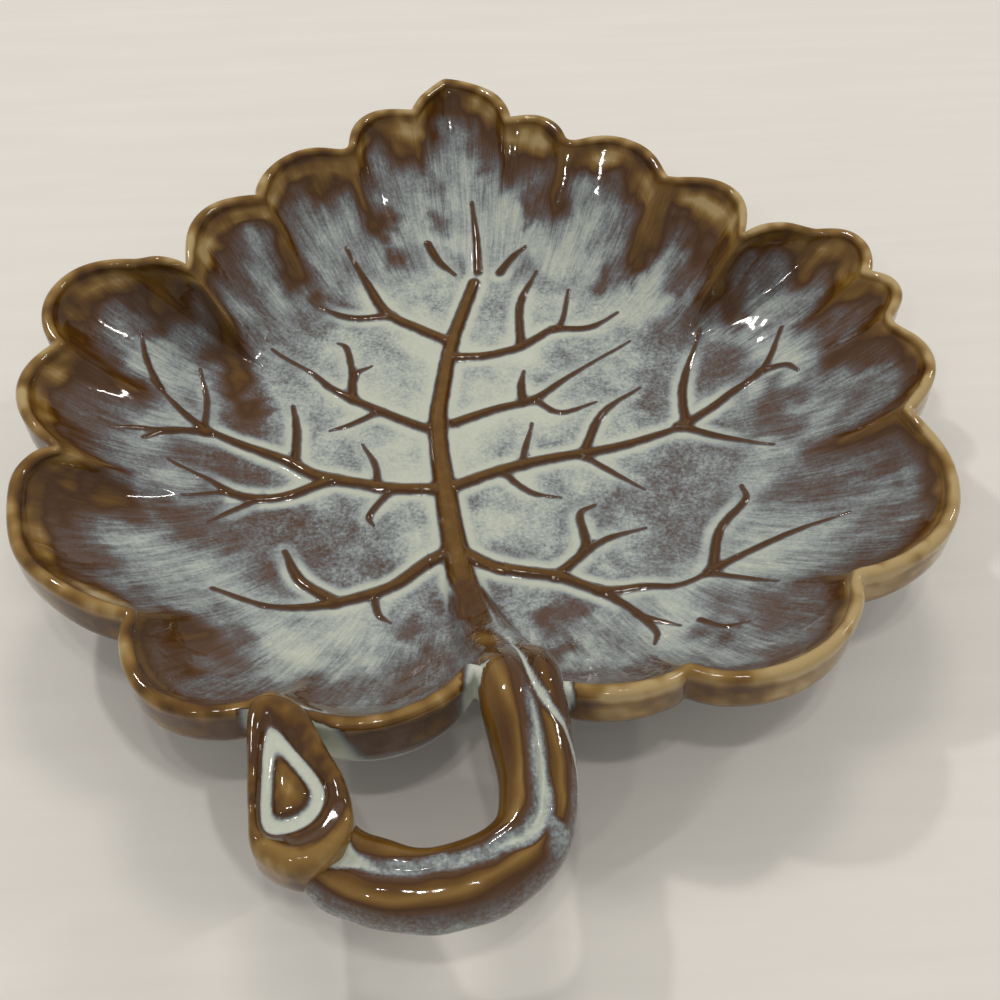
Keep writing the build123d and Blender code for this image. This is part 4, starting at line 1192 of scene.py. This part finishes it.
def linear(colour):
    """An sRGB colour as the linear colour that a shader takes."""
    values = [c / 12.92 if c <= 0.04045 else ((c + 0.055) / 1.055) ** 2.4 for c in colour]
    return (*values, 1.0)


class Nodes:
    """A short way to add and link a material's nodes."""

    def __init__(self, name):
        self.material = bpy.data.materials.new(name)
        self.material.use_nodes = True
        self.tree = self.material.node_tree
        self.shader = self.tree.nodes["Principled BSDF"]

    def add(self, kind, **settings):
        """A new node with its settings."""
        node = self.tree.nodes.new(kind)
        for key, value in settings.items():
            setattr(node, key, value)
        return node

    def link(self, source, target):
        """Joins an output to an input."""
        self.tree.links.new(source, target)

    def place(self):
        """Where the piece is shaded, in its own coordinates."""
        return self.add("ShaderNodeTexCoord").outputs["Object"]

    def fact(self, name, output="Fac"):
        """One of the facts kept on the piece's vertices."""
        return self.add("ShaderNodeAttribute", attribute_name=name).outputs[output]

    def math(self, operation, *values):
        """One step of arithmetic on numbers and outputs."""
        node = self.add("ShaderNodeMath", operation=operation)
        for socket, value in zip(node.inputs, values):
            if isinstance(value, (int, float)):
                socket.default_value = value
            else:
                self.link(value, socket)
        return node.outputs[0]

    def plus(self, first, second):
        """The sum of two values."""
        return self.math("ADD", first, second)

    def times(self, first, second):
        """The product of two values."""
        return self.math("MULTIPLY", first, second)

    def uneven(self, noise, amount):
        """A noise as a change of up to half an amount both ways."""
        return self.times(self.math("SUBTRACT", noise, 0.5), amount)

    def spread(self, value, low, high, to_low=0.0, to_high=1.0):
        """A value eased from one range to another."""
        node = self.add("ShaderNodeMapRange", interpolation_type="SMOOTHSTEP")
        self.link(value, node.inputs["Value"])
        for socket, number in zip(("From Min", "From Max", "To Min", "To Max"),
                                  (low, high, to_low, to_high)):
            node.inputs[socket].default_value = number
        return node.outputs["Result"]

    def noise(self, vector, scale, detail=2.0, roughness=0.5, distortion=0.0):
        """Noise from 0 to 1 at places."""
        node = self.add("ShaderNodeTexNoise")
        self.link(vector, node.inputs["Vector"])
        for socket, number in zip(("Scale", "Detail", "Roughness", "Distortion"),
                                  (scale, detail, roughness, distortion)):
            node.inputs[socket].default_value = number
        return node.outputs["Fac"]

    def scaled(self, vector, amounts):
        """Places stretched along each axis."""
        node = self.add("ShaderNodeMapping")
        self.link(vector, node.inputs["Vector"])
        node.inputs["Scale"].default_value = amounts
        return node.outputs["Vector"]

    def colour(self, value, colours):
        """Colours the material by a value, from rows of position and sRGB colour."""
        ramp = self.add("ShaderNodeValToRGB")
        stops = ramp.color_ramp.elements
        stops.remove(stops[-1])
        stops[0].position = colours[0][0]
        for position, colour in colours[1:]:
            stops.new(position)
        for stop, (position, colour) in zip(stops, colours):
            stop.color = linear(colour)
        self.link(value, ramp.inputs["Fac"])
        self.link(ramp.outputs["Color"], self.shader.inputs["Base Color"])

    def bump(self, height, strength, distance):
        """Roughens the material's surface by a height, over a distance in metres."""
        node = self.add("ShaderNodeBump")
        node.inputs["Strength"].default_value = strength
        node.inputs["Distance"].default_value = distance
        self.link(height, node.inputs["Height"])
        self.link(node.outputs["Normal"], self.shader.inputs["Normal"])


def make_glaze(name):
    """The flowing glaze: tan where it breaks over edges, brown, purple and slate, then pale in pools."""
    n = Nodes(name)
    place = n.place()
    glaze = n.fact("glaze")
    gap = n.fact("vein_gap")
    width = n.fact("vein_width")
    flow = n.fact("flow", "Vector")

    # Streaks down the flow
    streak = n.noise(n.scaled(flow, (0.30, 0.30, 0.070)), 1.0, 5.0, 0.60, 0.8)
    fine_streak = n.noise(n.scaled(flow, (1.15, 1.15, 0.20)), 1.0, 3.0, 0.6, 0.4)
    streaks = n.plus(n.uneven(streak, 0.50), n.uneven(fine_streak, 0.42))
    streaks = n.times(streaks, n.times(n.fact("streaky"), n.spread(glaze, 0.16, 0.50, 0.22, 1.0)))

    # Specks, single and in clumps
    speck = n.noise(place, 1250.0, 2.0, 0.65)
    clump = n.noise(place, 330.0, 3.0, 0.6)
    specks = n.plus(n.uneven(speck, 0.62), n.uneven(clump, 0.42))
    middle = n.times(n.spread(glaze, 0.25, 0.45), n.spread(glaze, 1.05, 0.70, 0.25, 1.0))
    specks = n.times(specks, n.times(n.fact("specky"), middle))
    thick = n.plus(glaze, n.plus(streaks, specks))

    # The pale halo beside each vein
    edge = n.plus(gap, n.uneven(n.noise(place, 420.0, 2.0), 0.5))
    halo = n.times(n.spread(edge, 3.2, 0.9), n.spread(width, 0.3, 2.4))
    halo = n.times(halo, n.spread(n.fact("streaky"), 1.0, 0.4, 0.25, 1.0))
    toward = n.math("SUBTRACT", 0.97, thick)
    thick = n.math("MULTIPLY_ADD", toward, n.times(halo, 0.85), thick)

    # The thin glaze over each vein, with a darker rim
    heart = n.spread(width, 1.2, 4.4, 0.20, 0.14)
    bank = n.math("MULTIPLY_ADD", n.spread(edge, -0.35, 1.0), 0.95, heart)
    dark_rim = n.times(n.spread(edge, -1.0, -0.15), 0.09)
    on_vein = n.plus(n.plus(bank, dark_rim), n.uneven(clump, 0.10))
    n.colour(n.math("MINIMUM", thick, on_vein), glaze_colours)

    n.bump(n.noise(place, 190.0, 2.0, 0.5), 0.35, 0.0004)
    n.shader.inputs["Roughness"].default_value = 0.07
    n.shader.inputs["IOR"].default_value = 1.5
    return n.material


leaf_glaze = make_glaze("flowing_leaf_glaze")
for piece in [leaf, twig, twig_end] + veins:
    piece.data.materials.append(leaf_glaze)
    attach(piece, "root")


# The bare clay of the foot

clay_colours = [(0.3, (0.62, 0.52, 0.40)), (0.7, (0.78, 0.69, 0.56))]


def make_foot_clay():
    """Bare buff stoneware, slightly gritty."""
    n = Nodes("bare_foot_clay")
    place = n.place()
    n.colour(n.noise(place, 900.0, 4.0, 0.7), clay_colours)
    n.bump(n.noise(place, 1800.0, 3.0, 0.7), 0.5, 0.0003)
    n.shader.inputs["Roughness"].default_value = 0.85
    return n.material


foot_clay = make_foot_clay()
foot_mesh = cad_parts["foot_ring"].data
foot_mesh.materials.clear()
foot_mesh.materials.append(foot_clay)


# The table, the lamps and the camera

table_colours = [(0.35, (0.925, 0.91, 0.88)), (0.65, (0.94, 0.925, 0.895))]


def make_floor():
    """A plain pale table top."""
    shape = bmesh.new()
    bmesh.ops.create_grid(shape, x_segments=8, y_segments=8, size=3.0)
    floor = finish_mesh("pale_floor", shape, {})
    n = Nodes("pale_table_top")
    n.colour(n.noise(n.scaled(n.place(), (3.0, 30.0, 1.0)), 4.0, 5.0, 0.6), table_colours)
    n.shader.inputs["Roughness"].default_value = 0.5
    floor.data.materials.append(n.material)


make_floor()


middle = (leaf_centre[0], leaf_centre[1], 0.02)

# The lamps: name, place in metres from the leaf's centre on the floor, sides in metres, and watts
lamps = [
    ("ceiling_a", (-0.07, -0.35, 1.2), (0.05, 0.05), 0.9),
    ("ceiling_b", (0.07, -0.35, 1.2), (0.05, 0.05), 0.9),
    ("ceiling_c", (-0.5, 0.5, 1.0), (0.06, 0.06), 2.3),
    ("ceiling_d", (-0.5, -0.9, 1.0), (0.07, 0.04), 0.9),
    ("tube", (0.83, 0.38, 0.78), (0.03, 0.24), 1.5),
    ("ceiling_back", (0.1, 0.6, 1.1), (0.3, 0.2), 2.4),
]
lamp_colour = (1.0, 0.97, 0.92)
no_reflection = "ceiling_back"


def add_lamp(name, place, sides, watts):
    """An area lamp at a place from the leaf's centre, aimed at the leaf."""
    light = bpy.data.lights.new(name, "AREA")
    light.shape = "RECTANGLE"
    light.size, light.size_y = sides
    light.energy = watts
    light.color = lamp_colour
    lamp = bpy.data.objects.new(name, light)
    bpy.context.collection.objects.link(lamp)
    spot = Vector((leaf_centre[0] + place[0], leaf_centre[1] + place[1], place[2]))
    turn = (Vector(middle) - spot).to_track_quat("-Z", "Y")
    lamp.matrix_world = Matrix.Translation(spot) @ turn.to_matrix().to_4x4()
    lamp.visible_glossy = name != no_reflection


for row in lamps:
    add_lamp(*row)

world = bpy.data.worlds.new("room")
bpy.context.scene.world = world
world.use_nodes = True
background = world.node_tree.nodes["Background"]
background.inputs["Color"].default_value = linear((0.97, 0.965, 0.955))
background.inputs["Strength"].default_value = 0.42


def make_camera():
    """The camera at the photograph's viewing angle."""
    mm_from_centre = np.array([-6.53, -207.79, 227.22])
    yaw, tilt, roll = radians(-3.4), radians(50.0), radians(-0.3)
    back = Vector((sin(yaw) * cos(tilt), -cos(yaw) * cos(tilt), sin(tilt)))
    right = Vector((cos(yaw), sin(yaw), 0.0))
    up = back.cross(right)
    right_rolled = cos(roll) * right + sin(roll) * up
    up_rolled = -sin(roll) * right + cos(roll) * up
    camera_data = bpy.data.cameras.new("camera")
    camera_data.lens = 45.0
    camera_data.sensor_width = 36.0
    camera = bpy.data.objects.new("camera", camera_data)
    bpy.context.collection.objects.link(camera)
    spot = Vector(mm_from_centre * MM + leaf_centre)
    axes = Matrix((right_rolled, up_rolled, back)).transposed()
    camera.matrix_world = Matrix.Translation(spot) @ axes.to_4x4()
    bpy.context.scene.camera = camera


make_camera()
bpy.context.scene.view_settings.view_transform = "Standard"
